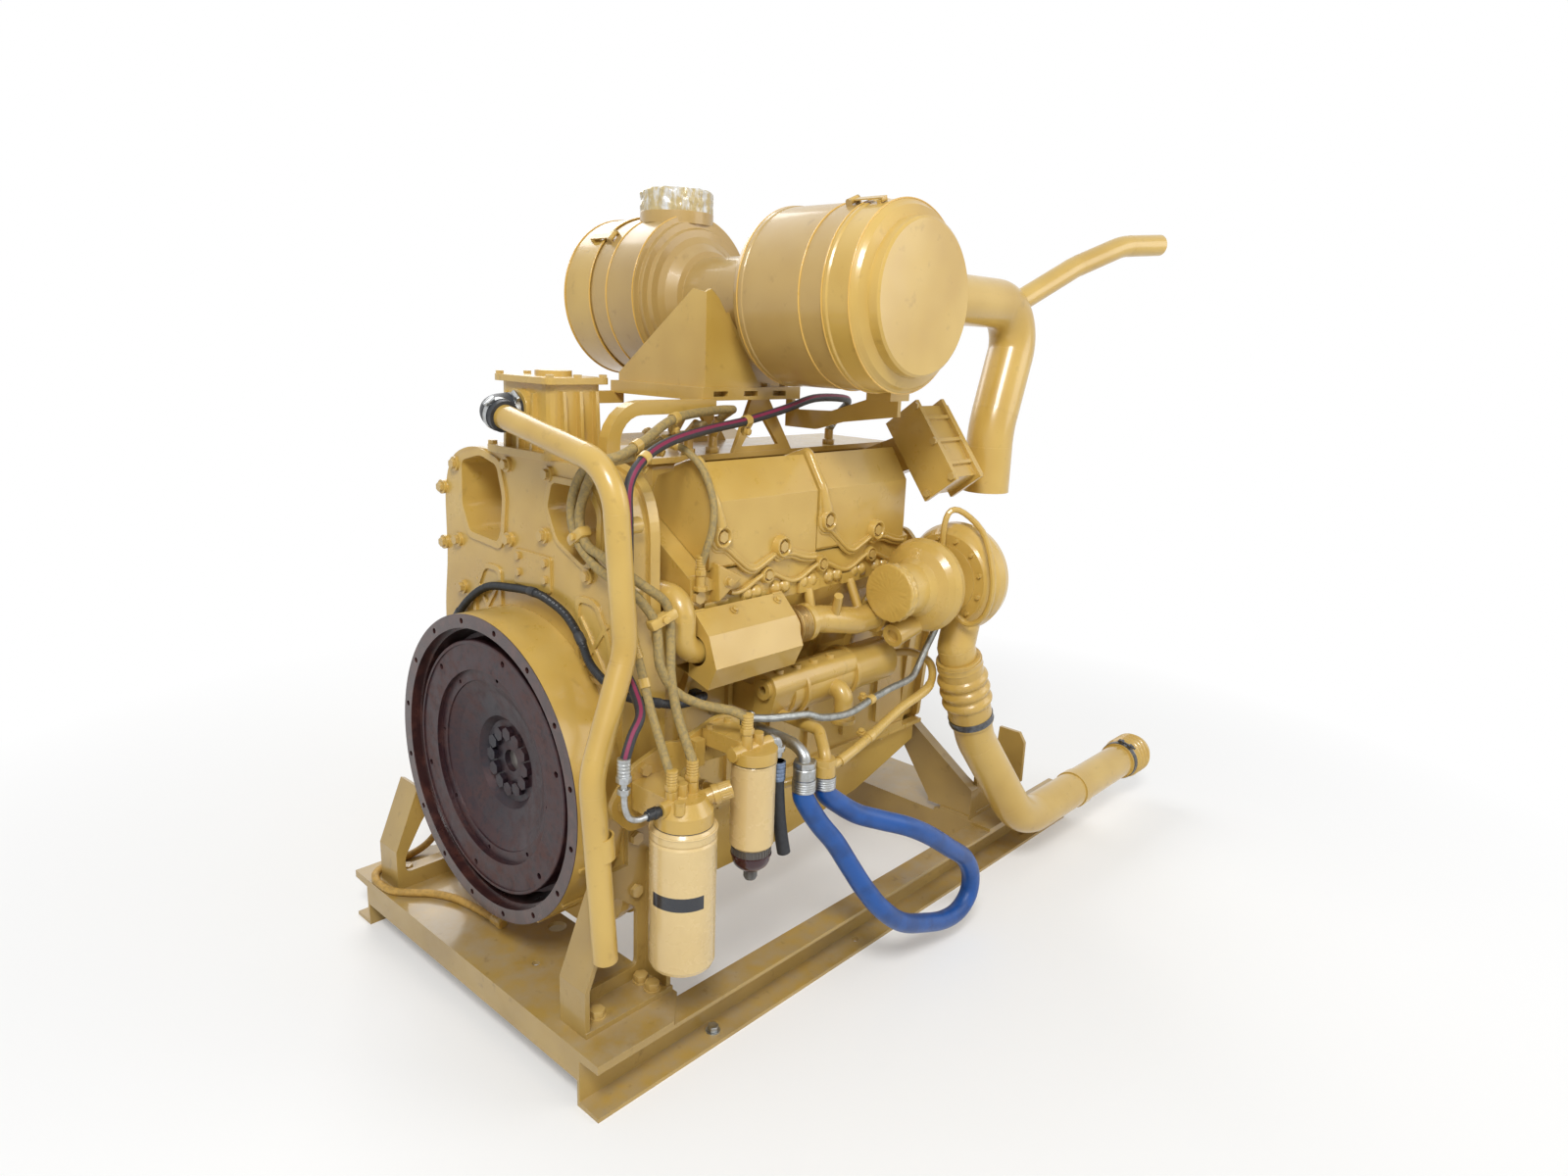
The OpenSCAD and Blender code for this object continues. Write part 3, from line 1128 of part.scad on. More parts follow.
module latch_ears(band_y, s) latch_frame(s) {
  pin_y = band_y - s * latch_pivot_in;
  for (z = [-latch_w / 2 - 4.5, latch_w / 2 + 0.5]) hull_free_ear(pin_y, z);
  translate([can_r + 9, pin_y, -latch_w / 2 - 4]) cylinder(h = latch_w + 8, r = 3);
}

module hull_free_ear(pin_y, z) {
  translate([can_r + 9, pin_y, z]) cylinder(h = 4, r = 7);
  translate([can_r - 1.5, pin_y - 7, z]) cube([10.5, 14, 4]);
}

module latch_near() color(zinc) latch(near_band, -1);
module latch_far() color(zinc) latch(far_band, 1);

module inlet_wrap() color("#dfe5ea") translate([can_x, stub_y, stub_top]) rotate_extrude() polygon([
  [0, 2], [stub_r + 5, 2], [stub_r + 7, -4], [stub_r + 4, -30], [stub_r + 7, -44],
  [stub_r + seat_gap, -44], [stub_r + seat_gap, seat_gap], [0, seat_gap]]);

// ----- air cleaner bracket -----
bed_low = 820;
bed_top = 850;
bed_rear = 495;
bed_front = 830;
bed_half = 170;
bed_bolts = [for (x = [545, 640, 735, 800]) [[x, -bed_half + 30, bed_top], z_axis, 12]];

module cleaner_bracket() color(paint) difference() {
  union() {
    bed();
    along_x(505, 515) polygon([[-160, bed_top], [-160, 1062], [-120, 1070], [150, 870], [150, bed_top]]);
    along_y(-166, -156) polygon([[505, bed_top], [505, 1062], [520, 1070], [545, 1050], [690, bed_top]]);
    for (y = [-100, 40]) along_y(y, y + 10) polygon([[560, bed_top], [600, can_height - 40],
      [870, can_height - 40], [bed_front, bed_top]]);
    both() {
      rear_arm();
      middle_leg();
    }
    side_arm();
  }
  translate([can_x, -bed_half, can_height]) rotate([-90, 0, 0]) cylinder(h = 2 * bed_half, r = neck_r + seat_gap);
  bolt_holes(bed_bolts);
  for (x = [530, 630, 730]) translate([x, -bed_half - 1, bed_low + 9]) cube([46, 24, 12]);
}

module bed() along_z(bed_low, bed_top) difference() {
  polygon([[bed_rear, -bed_half], [bed_front, -bed_half], [bed_front, bed_half], [bed_rear, bed_half]]);
  polygon(rounded([[bed_rear + 60, -70], [bed_front - 60, -70], [bed_front - 60, 30], [bed_rear + 60, 30]], 20));
}

// Curved arm from the bed back to the gear case's top
module rear_arm() along_y(-185, -155) polygon(concat([[bed_rear + 30, bed_low + 4], [bed_rear + 30, bed_low - 26]],
  [for (a = [90:15:180]) [case_front + 70, bed_low - 86] + 60 * [cos(a), sin(a)]],
  [[case_front + 10, case_top], [case_front - 26, case_top]],
  [for (a = [180:-15:90]) [case_front + 74, bed_low - 96] + 100 * [cos(a), sin(a)]]));

// A-shaped leg from the bed down to the inlet manifold's flange
module middle_leg() along_y(-128, -116) difference() {
  polygon([[700, bed_low + 1], [760, bed_low + 1], [850, manifold_top], [640, manifold_top]]);
  polygon([[722, bed_low - 40], [738, bed_low - 40], [800, manifold_top + 14], [668, manifold_top + 14]]);
}

// Arm out to the near can, with a saddle under the can
module side_arm() difference() {
  union() {
    along_x(800, 812) polygon([[-150, bed_low + 2], [-150, 752], [-250, 752], [-330, 775], [-500, 800],
      [-500, 842], [-420, 838], [-300, 800], [-186, 796], [-169, bed_low + 2]]);
    along_x(770, 842) translate([-500, 836]) square([70, 64]);
  }
  translate([can_x, -700, can_height]) rotate([-90, 0, 0]) cylinder(h = 400, r = can_r + 3 + seat_gap);
}

// ----- intake pipe -----
intake_way = [[turbo_x + 486, intake_y - 5, 575], [turbo_x + 486, intake_y - 5, 745],
  [turbo_x + 608, intake_y, stub_z], [can_x + can_r + 20, intake_y, stub_z]];
intake_bends = [260, 100];
branch_way = [[turbo_x + 570, intake_y, stub_z + 5], [turbo_x + 780, intake_y - 55, 1195],
  [turbo_x + 950, intake_y - 110, 1265], [turbo_x + 1100, intake_y - 155, 1280]];
branch_r = 30;

module intake_pipe() color(paint) difference() {
  union() {
    bent_pipe(intake_way, intake_bends, intake_r);
    bent_pipe(branch_way, [300, 200], branch_r);
  }
  bent_pipe([intake_way[0] - z_axis, intake_way[1], intake_way[2], intake_way[3] - x_axis],
    intake_bends, intake_r - pipe_wall);
  bent_pipe([branch_way[0], branch_way[1], branch_way[2], branch_way[3] + [32, -9, 3]],
    [300, 200], branch_r - pipe_wall);
}

// ----- breather -----
breather_low = case_top;
breather_lid = 855;
breather_bolts = [for (p = [[112, -118], [112, 98], [222, -118], [222, 98]])
  [[p.x, p.y, breather_low + 16], z_axis, 12]];
lid_bolts = [for (x = [126, 196, 262], y = [-104, 84]) [[x, y, breather_lid + 14], z_axis, 10]];
port = [88, -8, 800];
elbow_corner = [40, -8, 800];
breather_bend = [38, -428, 722];
elbow_end = elbow_corner + unit(breather_bend - elbow_corner) * 62;
elbow_r = 33;
elbow_back = unit(elbow_corner - elbow_end);
breather_way = [elbow_end + elbow_back * 12, breather_bend, [62, -432, 372], [-46, -466, 150], [-15, -466, -250]];

module breather_housing() color(paint) difference() {
  union() {
    along_z(breather_low, breather_low + 16) polygon(rounded([[98, -130], [285, -130], [285, 110], [98, 110]], 20));
    along_z(breather_low + 10, breather_lid + 1) polygon(rounded([[124, -104], [262, -104], [262, 84], [124, 84]], 26));
    for (x = [150:42:240]) along_x(x, x + 8) polygon([[-124, breather_low + 14], [104, breather_low + 14],
      [96, breather_lid - 14], [-116, breather_lid - 14]]);
    for (y = [-60:50:50]) along_y(y, y + 8) polygon([[108, breather_low + 14], [278, breather_low + 14],
      [272, breather_lid - 20], [114, breather_lid - 20]]);
    along_z(breather_lid, breather_lid + 14) polygon(rounded([[112, -116], [276, -116], [276, 96], [112, 96]], 22));
    translate([200, -10, breather_lid + 10]) cylinder(h = 16, r = 40);
    rod([130, port.y, port.z], [104, port.y, port.z], 42);
    rod([130, port.y, port.z], [port.x - 6, port.y, port.z], breather_r);
  }
  bolt_holes(breather_bolts);
  bolt_holes(lid_bolts);
}

module breather_elbow() color(rubber) difference() {
  bent_pipe([[103.7, port.y, port.z], elbow_corner, elbow_end], [40], elbow_r);
  bent_pipe([[105, port.y, port.z], elbow_corner, elbow_end - elbow_back], [40], breather_r + seat_gap);
}

module breather_pipe() color(paint) difference() {
  union() {
    bent_pipe(breather_way, [100, 120, 120], breather_r);
    tube([-28.3, -466, 26], [-24.6, -466, -22], breather_r + 3, breather_r - 1);
  }
  bent_pipe([breather_way[0] + elbow_back, breather_way[1], breather_way[2], breather_way[3],
    breather_way[4] - z_axis * 2], [100, 120, 120], breather_r - pipe_wall);
  translate([-15, -466, -250]) rotate([0, 30, 0]) translate([0, 0, -60]) cube([120, 120, 66], center = true);
}

// ----- cords -----
blue_r = 24;
blue_way = [[463, -556, 23.5], [463, -556, 12], [463, -556, 0], [464, -557, -25], [500, -572, -90], [544, -588, -150],
  [580, -606, -215], [615, -628, -280], [662, -648, -345], [740, -655, -410], [841, -655, -456],
  [930, -655, -486], [1000, -655, -488], [1045, -655, -455], [1046, -655, -395], [1005, -655, -335],
  [930, -655, -280], [840, -650, -215], [765, -635, -170], [695, -605, -140], [630, -580, -110],
  [576, -564, -70], [540, -558, -38], [533, -556, -16], [533, -556, -3], [533, -556, 9.5]];

drain_r = 9.5;
lay_z = deck_top + drain_r + 0.3;
drain_port = [206, case_half + 22, -150];
drain_way = [drain_port + [0, 0.3, 0], [206, 402, -153], [204, 430, -176], [196, 452, -225], [180, 466, -290],
  [150, 476, -360], [122, 481, -396], [95, 484, -415], [62, 484, lay_z + 1], [25, 482, lay_z], [-18, 474, lay_z],
  [-52, 455, lay_z], [-68, 422, lay_z], [-70, 385, lay_z], [-64, 346, lay_z], [-42, 312, lay_z],
  [0, 266, lay_z], [30, 206, lay_z], [43, 140, lay_z], [50, 80, lay_z], [54, 24, lay_z]];

dark_r = 15;
dark_top = [403, -530, 75];
dark_way = [dark_top - [0, 0, seat_gap], dark_top - [0, 0, 15], dark_top - [0, 0, 36], [405, -531, 0], [409, -533, -50], [415, -536, -100], [423, -540, -148]];

module blue_hose() color("#1d4fa6") line_along(smooth(blue_way, 2), blue_r, 12);
module drain_hose() color(paint) line_along(smooth(drain_way, 2), drain_r, 8);
module dark_hose() color(rubber) line_along(smooth(dark_way, 2), dark_r, 8);

// ----- lines held at both ends -----
line_r = 10;
line_top = manifold_top + 45;
return_way = [[600, -95, line_top], [598, -122, 772], [584, -172, 796], [550, -208, 802], [490, -216, 802],
  [330, -262, 792], [200, -312, 752], [136, -318, 728], [102, -290, 716], [98, -240, 680], [98, -212, 612],
  [98, -232, 550], [98, -296, 506], [106, -368, 480], [138, -380, 450], [168, -390, 405], [172, -398, 370],
  [166, -412, 315], [190, -428, 260], [236, -455, 226], [280, -508, 214], [299, -533, 198], [300, -534, 184], [300, -534, 166]];
supply_way = [[520, -95, line_top], [518, -124, 758], [500, -170, 764], [460, -206, 752], [380, -226, 750],
  [300, -258, 745], [200, -298, 726], [140, -310, 720], [102, -292, 706], [97, -264, 660], [98, -240, 600],
  [98, -262, 548], [99, -316, 530], [107, -372, 508], [144, -386, 478], [192, -394, 440], [204, -398, 400],
  [200, -406, 350], [186, -424, 290], [180, -450, 220], [168, -492, 172], [160, -520, 142], [160, -521, 122], [160, -521, 101]];
leak_way = [[120, -378, 372], [124, -396, 330], [126, -412, 285], [122, -440, 230], [112, -480, 180],
  [105, -514, 135], [105, -521, 118], [105, -521, 96.7]];
feed_way = [[1040, -95, line_top], [1036, -130, 776], [1005, -185, 810], [930, -222, 824], [806, -238, 826],
  [700, -244, 804], [555, -255, 780], [400, -285, 767], [250, -335, 752], [150, -374, 725], [104, -390, 680],
  [100, -394, 600], [100, -394, 500], [96, -394, 400], [82, -402, 330], [75, -440, 292], [48, -495, 262],
  [10, -516, 232], [-12, -523, 190], [-15, -524, 152]];
rocker_way = [[300, -248, 747], [330, -292, 730], [342, -338, 692], [343, -372, 630], [334, -382, 575],
  [322, -378, 530], [318, -366, 490], [318, -364, 470]];
braid_way = [[403, -406, 130], [430, -407, 130], [470, -436, 128], [520, -458, 126], [566, -470, 122], [610, -480, 106],
  [705, -480, 92], [805, -470, 100], [890, -465, 108], [985, -460, 112], [1030, -450, 130],
  [1058, -454, 180], [1078, -465, 232], [1080, -467, 256], [1080, -467, 272], [1080, -467, 288.5]];
conduit_way = [[1010.5, -345, 140], [1022, -345, 140], [1036, -345, 140], [1062, -353, 142], [1100, -380, 142], [1122, -430, 116], [1072, -462, 70],
  [920, -480, 50], [770, -500, 20], [645, -508, -6], [560, -500, -16], [500, -475, -26], [450, -425, -46],
  [418, -340, -64], [408, -262.3, -70]];

module fluid_lines() {
  color("#8f8455") {
    for (w = [return_way, supply_way]) line_along(smooth(w, 2), line_r);
    line_along(smooth(leak_way, 2), line_r - 1);
    line_along(smooth(rocker_way, 2), line_r - 2);
  }
  color(rubber) line_along(smooth(feed_way, 2), line_r);
  color("#b7bbbd") line_along(smooth(braid_way, 2), 9);
  color(paint) line_along(smooth(conduit_way, 2), 11);
  color(zinc) {
    for (w = [return_way, supply_way, feed_way])
      translate([w[0].x, w[0].y, manifold_top]) cylinder(h = line_top - manifold_top - seat_gap, r = 12);
    bent_pipe([[-15, -524, 151.7], [-14, -525, 64], [72.7, filter_y, filter_top + 44]], [40], 11);
    bent_pipe([[374.4, dark_top.y, 127], [dark_top.x, dark_top.y, 127], dark_top + z_axis], [16], 10);
    rod(dark_top, dark_top + [0, 0, 26], dark_r + 1);
    hose_union(hose_a, [hose_a.x + 8, -crankcase_half - seat_gap, 96]);
    translate([318, -364.6, 436]) cylinder(h = 33.7, r = 10);
    translate([408, -262, -70]) rotate([-90, 0, 0]) cylinder(h = 11.7, r = 15);
    translate([120, -378, 373]) rotate([-90, 0, 0]) translate([0, 0, -6]) cylinder(h = 33.7, r = 11);
  }
}

loom_way = [[105, 356, 120], [105, 340, 168], [105, 310, 228], [105, 262, 292], [105, 200, 345],
  [105, 125, 384], [105, 35, 399], [102, -60, 408], [102, -125, 400], [102, -185, 380], [98, -238, 342],
  [92, -276, 302], [92, -322, 276], [98, -368, 258], [130, -378, 240], [180, -384, 222], [240, -386, 204],
  [320, -368, 192], [370, -326, 176], [393, -290, 160], [400, -267, 150]];

module wiring_loom() color(rubber) {
  line_along(smooth(loom_way, 2), 9, 8);
  translate([400, -266, 150]) rotate([-90, 0, 0]) cylinder(h = 15.7, r = 15);
}

// ----- fasteners -----
module fasteners() color(paint) {
  for (b = concat(support_foot_bolts, support_side_bolts, front_foot_bolts, near_cover_bolts,
    head_side_bolts, pan_bolts)) both() bolt(b);
  for (b = front_bolts) both() bolt(b);
  for (b = concat(case_rear_bolts, pad_bolts, plate_bolts, bed_bolts, breather_bolts, lid_bolts,
    housing_bolts)) bolt(b);
}

if (on("skid_frame")) skid_frame();
if (on("rear_support_near")) rear_support_near();
if (on("rear_support_far")) rear_support_far();
if (on("front_support")) front_support();
if (on("fasteners")) fasteners();
if (on("flywheel_housing")) flywheel_housing();
if (on("gear_case")) gear_case();
if (on("cylinder_block")) cylinder_block();
if (on("oil_pan")) oil_pan();
if (on("head_near")) head_near();
if (on("head_far")) head_far();
if (on("cover_near_rear")) cover_near_rear();
if (on("cover_near_front")) cover_near_front();
if (on("cover_far_rear")) cover_far_rear();
if (on("cover_far_front")) cover_far_front();
if (on("front_cover")) front_cover();
if (on("inlet_manifold")) inlet_manifold();
if (on("inlet_air_housing")) inlet_air_housing();
if (on("flywheel")) flywheel();
if (on("flywheel_bolts")) flywheel_bolts();
if (on("crankshaft")) crankshaft();
if (on("vibration_damper")) vibration_damper();
if (on("heat_shield")) heat_shield();
if (on("exhaust_manifold")) exhaust_manifold();
if (on("exhaust_manifold_far")) exhaust_manifold_far();
if (on("turbine_housing")) turbine_housing();
if (on("bearing_housing")) bearing_housing();
if (on("compressor_housing")) compressor_housing();
if (on("turbo_rotor")) turbo_rotor();
if (on("outlet_cover")) outlet_cover();
if (on("turbo_oil_tube")) turbo_oil_tube();
if (on("charge_hose")) charge_hose();
if (on("clamps")) clamps();
if (on("charge_pipe")) charge_pipe();
if (on("oil_cooler")) oil_cooler();
if (on("filter_plate")) filter_plate();
if (on("filter_base")) filter_base();
if (on("fuel_filter")) fuel_filter();
if (on("priming_plunger")) priming_plunger();
if (on("separator_head")) separator_head();
if (on("water_separator")) water_separator();
if (on("separator_bowl")) separator_bowl();
if (on("drain_valve")) drain_valve();
if (on("cleaner_can_near")) cleaner_can_near();
if (on("cleaner_can_far")) cleaner_can_far();
if (on("end_cover_near")) end_cover_near();
if (on("end_cover_far")) end_cover_far();
if (on("latch_near")) latch_near();
if (on("latch_far")) latch_far();
if (on("inlet_wrap")) inlet_wrap();
if (on("cleaner_bracket")) cleaner_bracket();
if (on("intake_pipe")) intake_pipe();
if (on("breather_housing")) breather_housing();
if (on("breather_elbow")) breather_elbow();
if (on("breather_pipe")) breather_pipe();
if (on("blue_hose")) blue_hose();
if (on("drain_hose")) drain_hose();
if (on("dark_hose")) dark_hose();
if (on("fluid_lines")) fluid_lines();
if (on("wiring_loom")) wiring_loom();
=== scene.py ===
"""Looks of a V diesel power unit on a skid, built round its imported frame.

Every piece is in metres in the frame's own axes: +X along the crankshaft to the damper
end, -Y to the side of the turbocharger and the filters, +Z up, with the origin at the
centre of the flywheel housing's flange face.
"""

from __future__ import annotations

import logging
import math
from collections.abc import Sequence
from dataclasses import dataclass, field
from enum import Enum
from typing import Any

import bmesh
import bpy
from mathutils import Matrix, Vector, noise

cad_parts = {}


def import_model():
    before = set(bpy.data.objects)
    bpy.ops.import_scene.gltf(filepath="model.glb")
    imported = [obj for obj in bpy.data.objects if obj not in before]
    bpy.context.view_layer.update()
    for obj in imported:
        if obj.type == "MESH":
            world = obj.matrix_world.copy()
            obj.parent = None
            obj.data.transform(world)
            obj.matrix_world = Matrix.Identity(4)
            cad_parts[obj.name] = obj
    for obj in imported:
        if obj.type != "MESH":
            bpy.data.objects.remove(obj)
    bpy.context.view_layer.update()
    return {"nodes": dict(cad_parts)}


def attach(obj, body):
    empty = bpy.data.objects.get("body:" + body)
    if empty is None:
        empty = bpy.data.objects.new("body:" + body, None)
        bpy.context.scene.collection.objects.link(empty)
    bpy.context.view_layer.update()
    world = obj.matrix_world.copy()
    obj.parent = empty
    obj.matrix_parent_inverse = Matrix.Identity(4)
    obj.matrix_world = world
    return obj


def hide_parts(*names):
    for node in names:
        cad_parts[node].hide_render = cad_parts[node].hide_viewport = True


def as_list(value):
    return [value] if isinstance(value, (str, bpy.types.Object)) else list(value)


log = logging.getLogger("power_unit")

MM = 0.001
Point = tuple[float, float, float]
Where = Point | Vector
Outline = list[tuple[float, float]]
Tree = bpy.types.NodeTree
Socket = bpy.types.NodeSocket


# ---------------------------------------------------------------- patterns
def linear(code: str) -> tuple[float, float, float, float]:
    """Turn an sRGB hex colour to linear RGBA.

    Args:
        code: Colour such as "#d9ac4a".

    Returns:
        The four linear channels, alpha 1.
    """
    parts = [int(code[i : i + 2], 16) / 255 for i in (1, 3, 5)]
    out = [c / 12.92 if c <= 0.04045 else ((c + 0.055) / 1.055) ** 2.4 for c in parts]
    return (out[0], out[1], out[2], 1.0)


def add_node(
    tree: Tree,
    kind: str,
    feeds: dict[str | int, Any] | None = None,
    out: str | int = 0,
    **settings: Any,
) -> Socket | None:
    """Add one node with its settings, values and links.

    Args:
        tree: Node tree that gets the node.
        kind: Name of the node's type.
        feeds: Input name or index to the socket, hex colour or value that feeds it.
        out: Name or index of the output that is wanted.
        **settings: Properties of the node itself.

    Returns:
        The output socket, or None from a node without outputs.
    """
    made = tree.nodes.new(kind)
    for key, value in settings.items():
        setattr(made, key, value)
    for key, value in (feeds or {}).items():
        if isinstance(value, Socket):
            tree.links.new(value, made.inputs[key])
        else:
            made.inputs[key].default_value = linear(value) if isinstance(value, str) else value
    return made.outputs[out] if len(made.outputs) else None


class Join(Enum):
    """How masks become one."""

    BOTH = "MULTIPLY"
    EITHER = "MAXIMUM"


def joined(tree: Tree, how: Join, *masks: Socket | float) -> Socket:
    """Join masks and shares one after another.

    Args:
        tree: Node tree that gets the nodes.
        how: The way they are joined.
        *masks: The masks and shares.

    Returns:
        The joined mask.
    """
    made = masks[0]
    for mask in masks[1:]:
        made = add_node(tree, "ShaderNodeMath", {0: made, 1: mask}, operation=how.value)
    return made


def grain(
    tree: Tree,
    size: float,
    detail: float,
    seed: float = 0.0,
    stretch: Point = (1.0, 1.0, 1.0),
) -> Socket:
    """Make a noise pattern of a real size on object coordinates.

    Args:
        tree: Node tree that gets the pattern.
        size: Size of one blotch in metres.
        detail: Number of finer layers.
        seed: Offset that sets this pattern apart from another.
        stretch: Factor on each axis.

    Returns:
        The pattern's value, 0 to 1 round 0.5.
    """
    coords = add_node(tree, "ShaderNodeTexCoord", out="Object")
    shift = (seed, seed * 0.7, -seed)
    place = add_node(
        tree, "ShaderNodeMapping", {"Vector": coords, "Location": shift, "Scale": stretch}
    )
    feeds = {"Vector": place, "Scale": 1 / size, "Detail": detail, "Roughness": 0.55}
    return add_node(tree, "ShaderNodeTexNoise", feeds, "Fac")


def patches(
    tree: Tree,
    size: float,
    detail: float,
    start: float,
    full: float,
    least: float = 0.0,
    most: float = 1.0,
    seed: float = 0.0,
) -> Socket:
    """Make a mask of soft blotches.

    Args:
        tree: Node tree that gets the mask.
        size: Size of one blotch in metres.
        detail: Number of finer layers.
        start: Value of the grain at which a blotch starts.
        full: Value of the grain at which it is full.
        least: The mask between blotches.
        most: The mask in a full blotch.
        seed: Offset that sets this mask apart from another.

    Returns:
        The mask.
    """
    feeds = {"Value": grain(tree, size, detail, seed), "From Min": start, "From Max": full}
    return add_node(tree, "ShaderNodeMapRange", feeds | {"To Min": least, "To Max": most})


def within(
    tree: Tree,
    value: Socket,
    low: float | None,
    high: float | None,
    soft: float = 0.4 * MM,
) -> Socket:
    """Make a mask of the stretch between two levels.

    Args:
        tree: Node tree that gets the mask.
        value: The value that is compared.
        low: Lower level, None for no lower end.
        high: Upper level, None for no upper end.
        soft: Width over which the mask changes past each level.

    Returns:
        The mask, 1 inside the stretch.
    """
    ends = []
    for level, before in ((low, 0.0), (high, 1.0)):
        if level is not None:
            feeds = {"Value": value, "From Min": level, "From Max": level + soft}
            feeds |= {"To Min": before, "To Max": 1.0 - before}
            ends.append(add_node(tree, "ShaderNodeMapRange", feeds))
    return joined(tree, Join.BOTH, *ends)


def distance(tree: Tree, centre: Point, counted: Point = (1.0, 1.0, 1.0)) -> Socket:
    """Return the distance from a centre in metres.

    Args:
        tree: Node tree that gets the nodes.
        centre: The centre.
        counted: 1 for each axis that counts and 0 for the others.

    Returns:
        The distance.
    """
    made = add_node(tree, "ShaderNodeTexCoord", out="Object")
    for how, by in (("SUBTRACT", centre), ("MULTIPLY", counted)):
        made = add_node(tree, "ShaderNodeVectorMath", {0: made, 1: by}, operation=how)
    return add_node(tree, "ShaderNodeVectorMath", {0: made}, "Value", operation="LENGTH")


def coordinate(tree: Tree, axis: str) -> Socket:
    """Return the object coordinate on one axis in metres."""
    coords = add_node(tree, "ShaderNodeTexCoord", out="Object")
    return add_node(tree, "ShaderNodeSeparateXYZ", {0: coords}, axis)


def coats(tree: Tree, base: Socket | str, *over: tuple[Socket, Socket | str]) -> Socket:
    """Lay colours over a base one after another.

    Args:
        tree: Node tree that gets the nodes.
        base: The base's colour.
        *over: Pairs of a mask and the colour that it lays on.

    Returns:
        The colour of it all.
    """
    for mask, colour in over:
        feeds = {0: mask, 6: base, 7: colour}
        base = add_node(tree, "ShaderNodeMix", feeds, 2, data_type="RGBA")
    return base


def reliefs(tree: Tree, normal: Socket | None, *over: tuple[Socket, float]) -> Socket:
    """Lay height patterns over a normal one after another.

    Args:
        tree: Node tree that gets the nodes.
        normal: The normal to start from, None for the surface's own.
        *over: Pairs of a height pattern and its depth in metres.

    Returns:
        The normal of it all.
    """
    for height, depth in over:
        feeds = {"Height": height, "Distance": depth}
        if normal is not None:
            feeds["Normal"] = normal
        normal = add_node(tree, "ShaderNodeBump", feeds)
    return normal


def backdrop_rays(tree: Tree) -> Socket:
    """Tell rays that show the backdrop itself from rays that light.

    Args:
        tree: Node tree that gets the nodes.

    Returns:
        A mask, 1 on camera, glossy and transmission rays.
    """
    rays = add_node(tree, "ShaderNodeLightPath").node.outputs
    seen = ("Is Camera Ray", "Is Glossy Ray", "Is Transmission Ray")
    return joined(tree, Join.EITHER, *(rays[name] for name in seen))


def soft_edges(tree: Tree, radius: float) -> tuple[Socket, Socket]:
    """Round the edges to the eye.

    Args:
        tree: Node tree that gets the nodes.
        radius: Radius of the rounding in metres.

    Returns:
        The rounded normal, and a value that rises from 0 to 1 at an edge.
    """
    soft = add_node(tree, "ShaderNodeBevel", {"Radius": radius}, samples=4)
    true = add_node(tree, "ShaderNodeNewGeometry", out="True Normal")
    same = add_node(
        tree, "ShaderNodeVectorMath", {0: soft, 1: true}, "Value", operation="DOT_PRODUCT"
    )
    feeds = {"Value": same, "From Min": 0.96, "From Max": 0.75}
    return soft, add_node(tree, "ShaderNodeMapRange", feeds)


def facing_up(tree: Tree) -> Socket:
    """Make a mask of the faces that dust settles on.

    Args:
        tree: Node tree that gets the nodes.

    Returns:
        The mask, 1 where the surface faces up and 0 at upright faces.
    """
    normal = add_node(tree, "ShaderNodeNewGeometry", out="Normal")
    rise = add_node(tree, "ShaderNodeSeparateXYZ", {0: normal}, "Z")
    feeds = {"Value": rise, "From Min": 0.25, "From Max": 0.95}
    return add_node(tree, "ShaderNodeMapRange", feeds)


# ---------------------------------------------------------------- finishes
@dataclass(frozen=True)
class Finish:
    """A finish that makes one material and keeps it."""

    name: str

    def material(self) -> bpy.types.Material:
        """Make this finish's material on the first call.

        Returns:
            The material.
        """
        found = bpy.data.materials.get(self.name)
        if found:
            return found
        made = bpy.data.materials.new(self.name)
        made.use_nodes = True
        made.node_tree.nodes.clear()
        surface = self.surface(made.node_tree)
        add_node(made.node_tree, "ShaderNodeOutputMaterial", {"Surface": surface})
        return made

    def surface(self, tree: Tree) -> Socket:
        """Build the shader and return its output socket."""
        return add_node(tree, "ShaderNodeBsdfPrincipled", self.feeds(tree))

    def feeds(self, tree: Tree) -> dict[str | int, Any]:
        """Return what feeds the shader, by the name of its input."""
        raise NotImplementedError


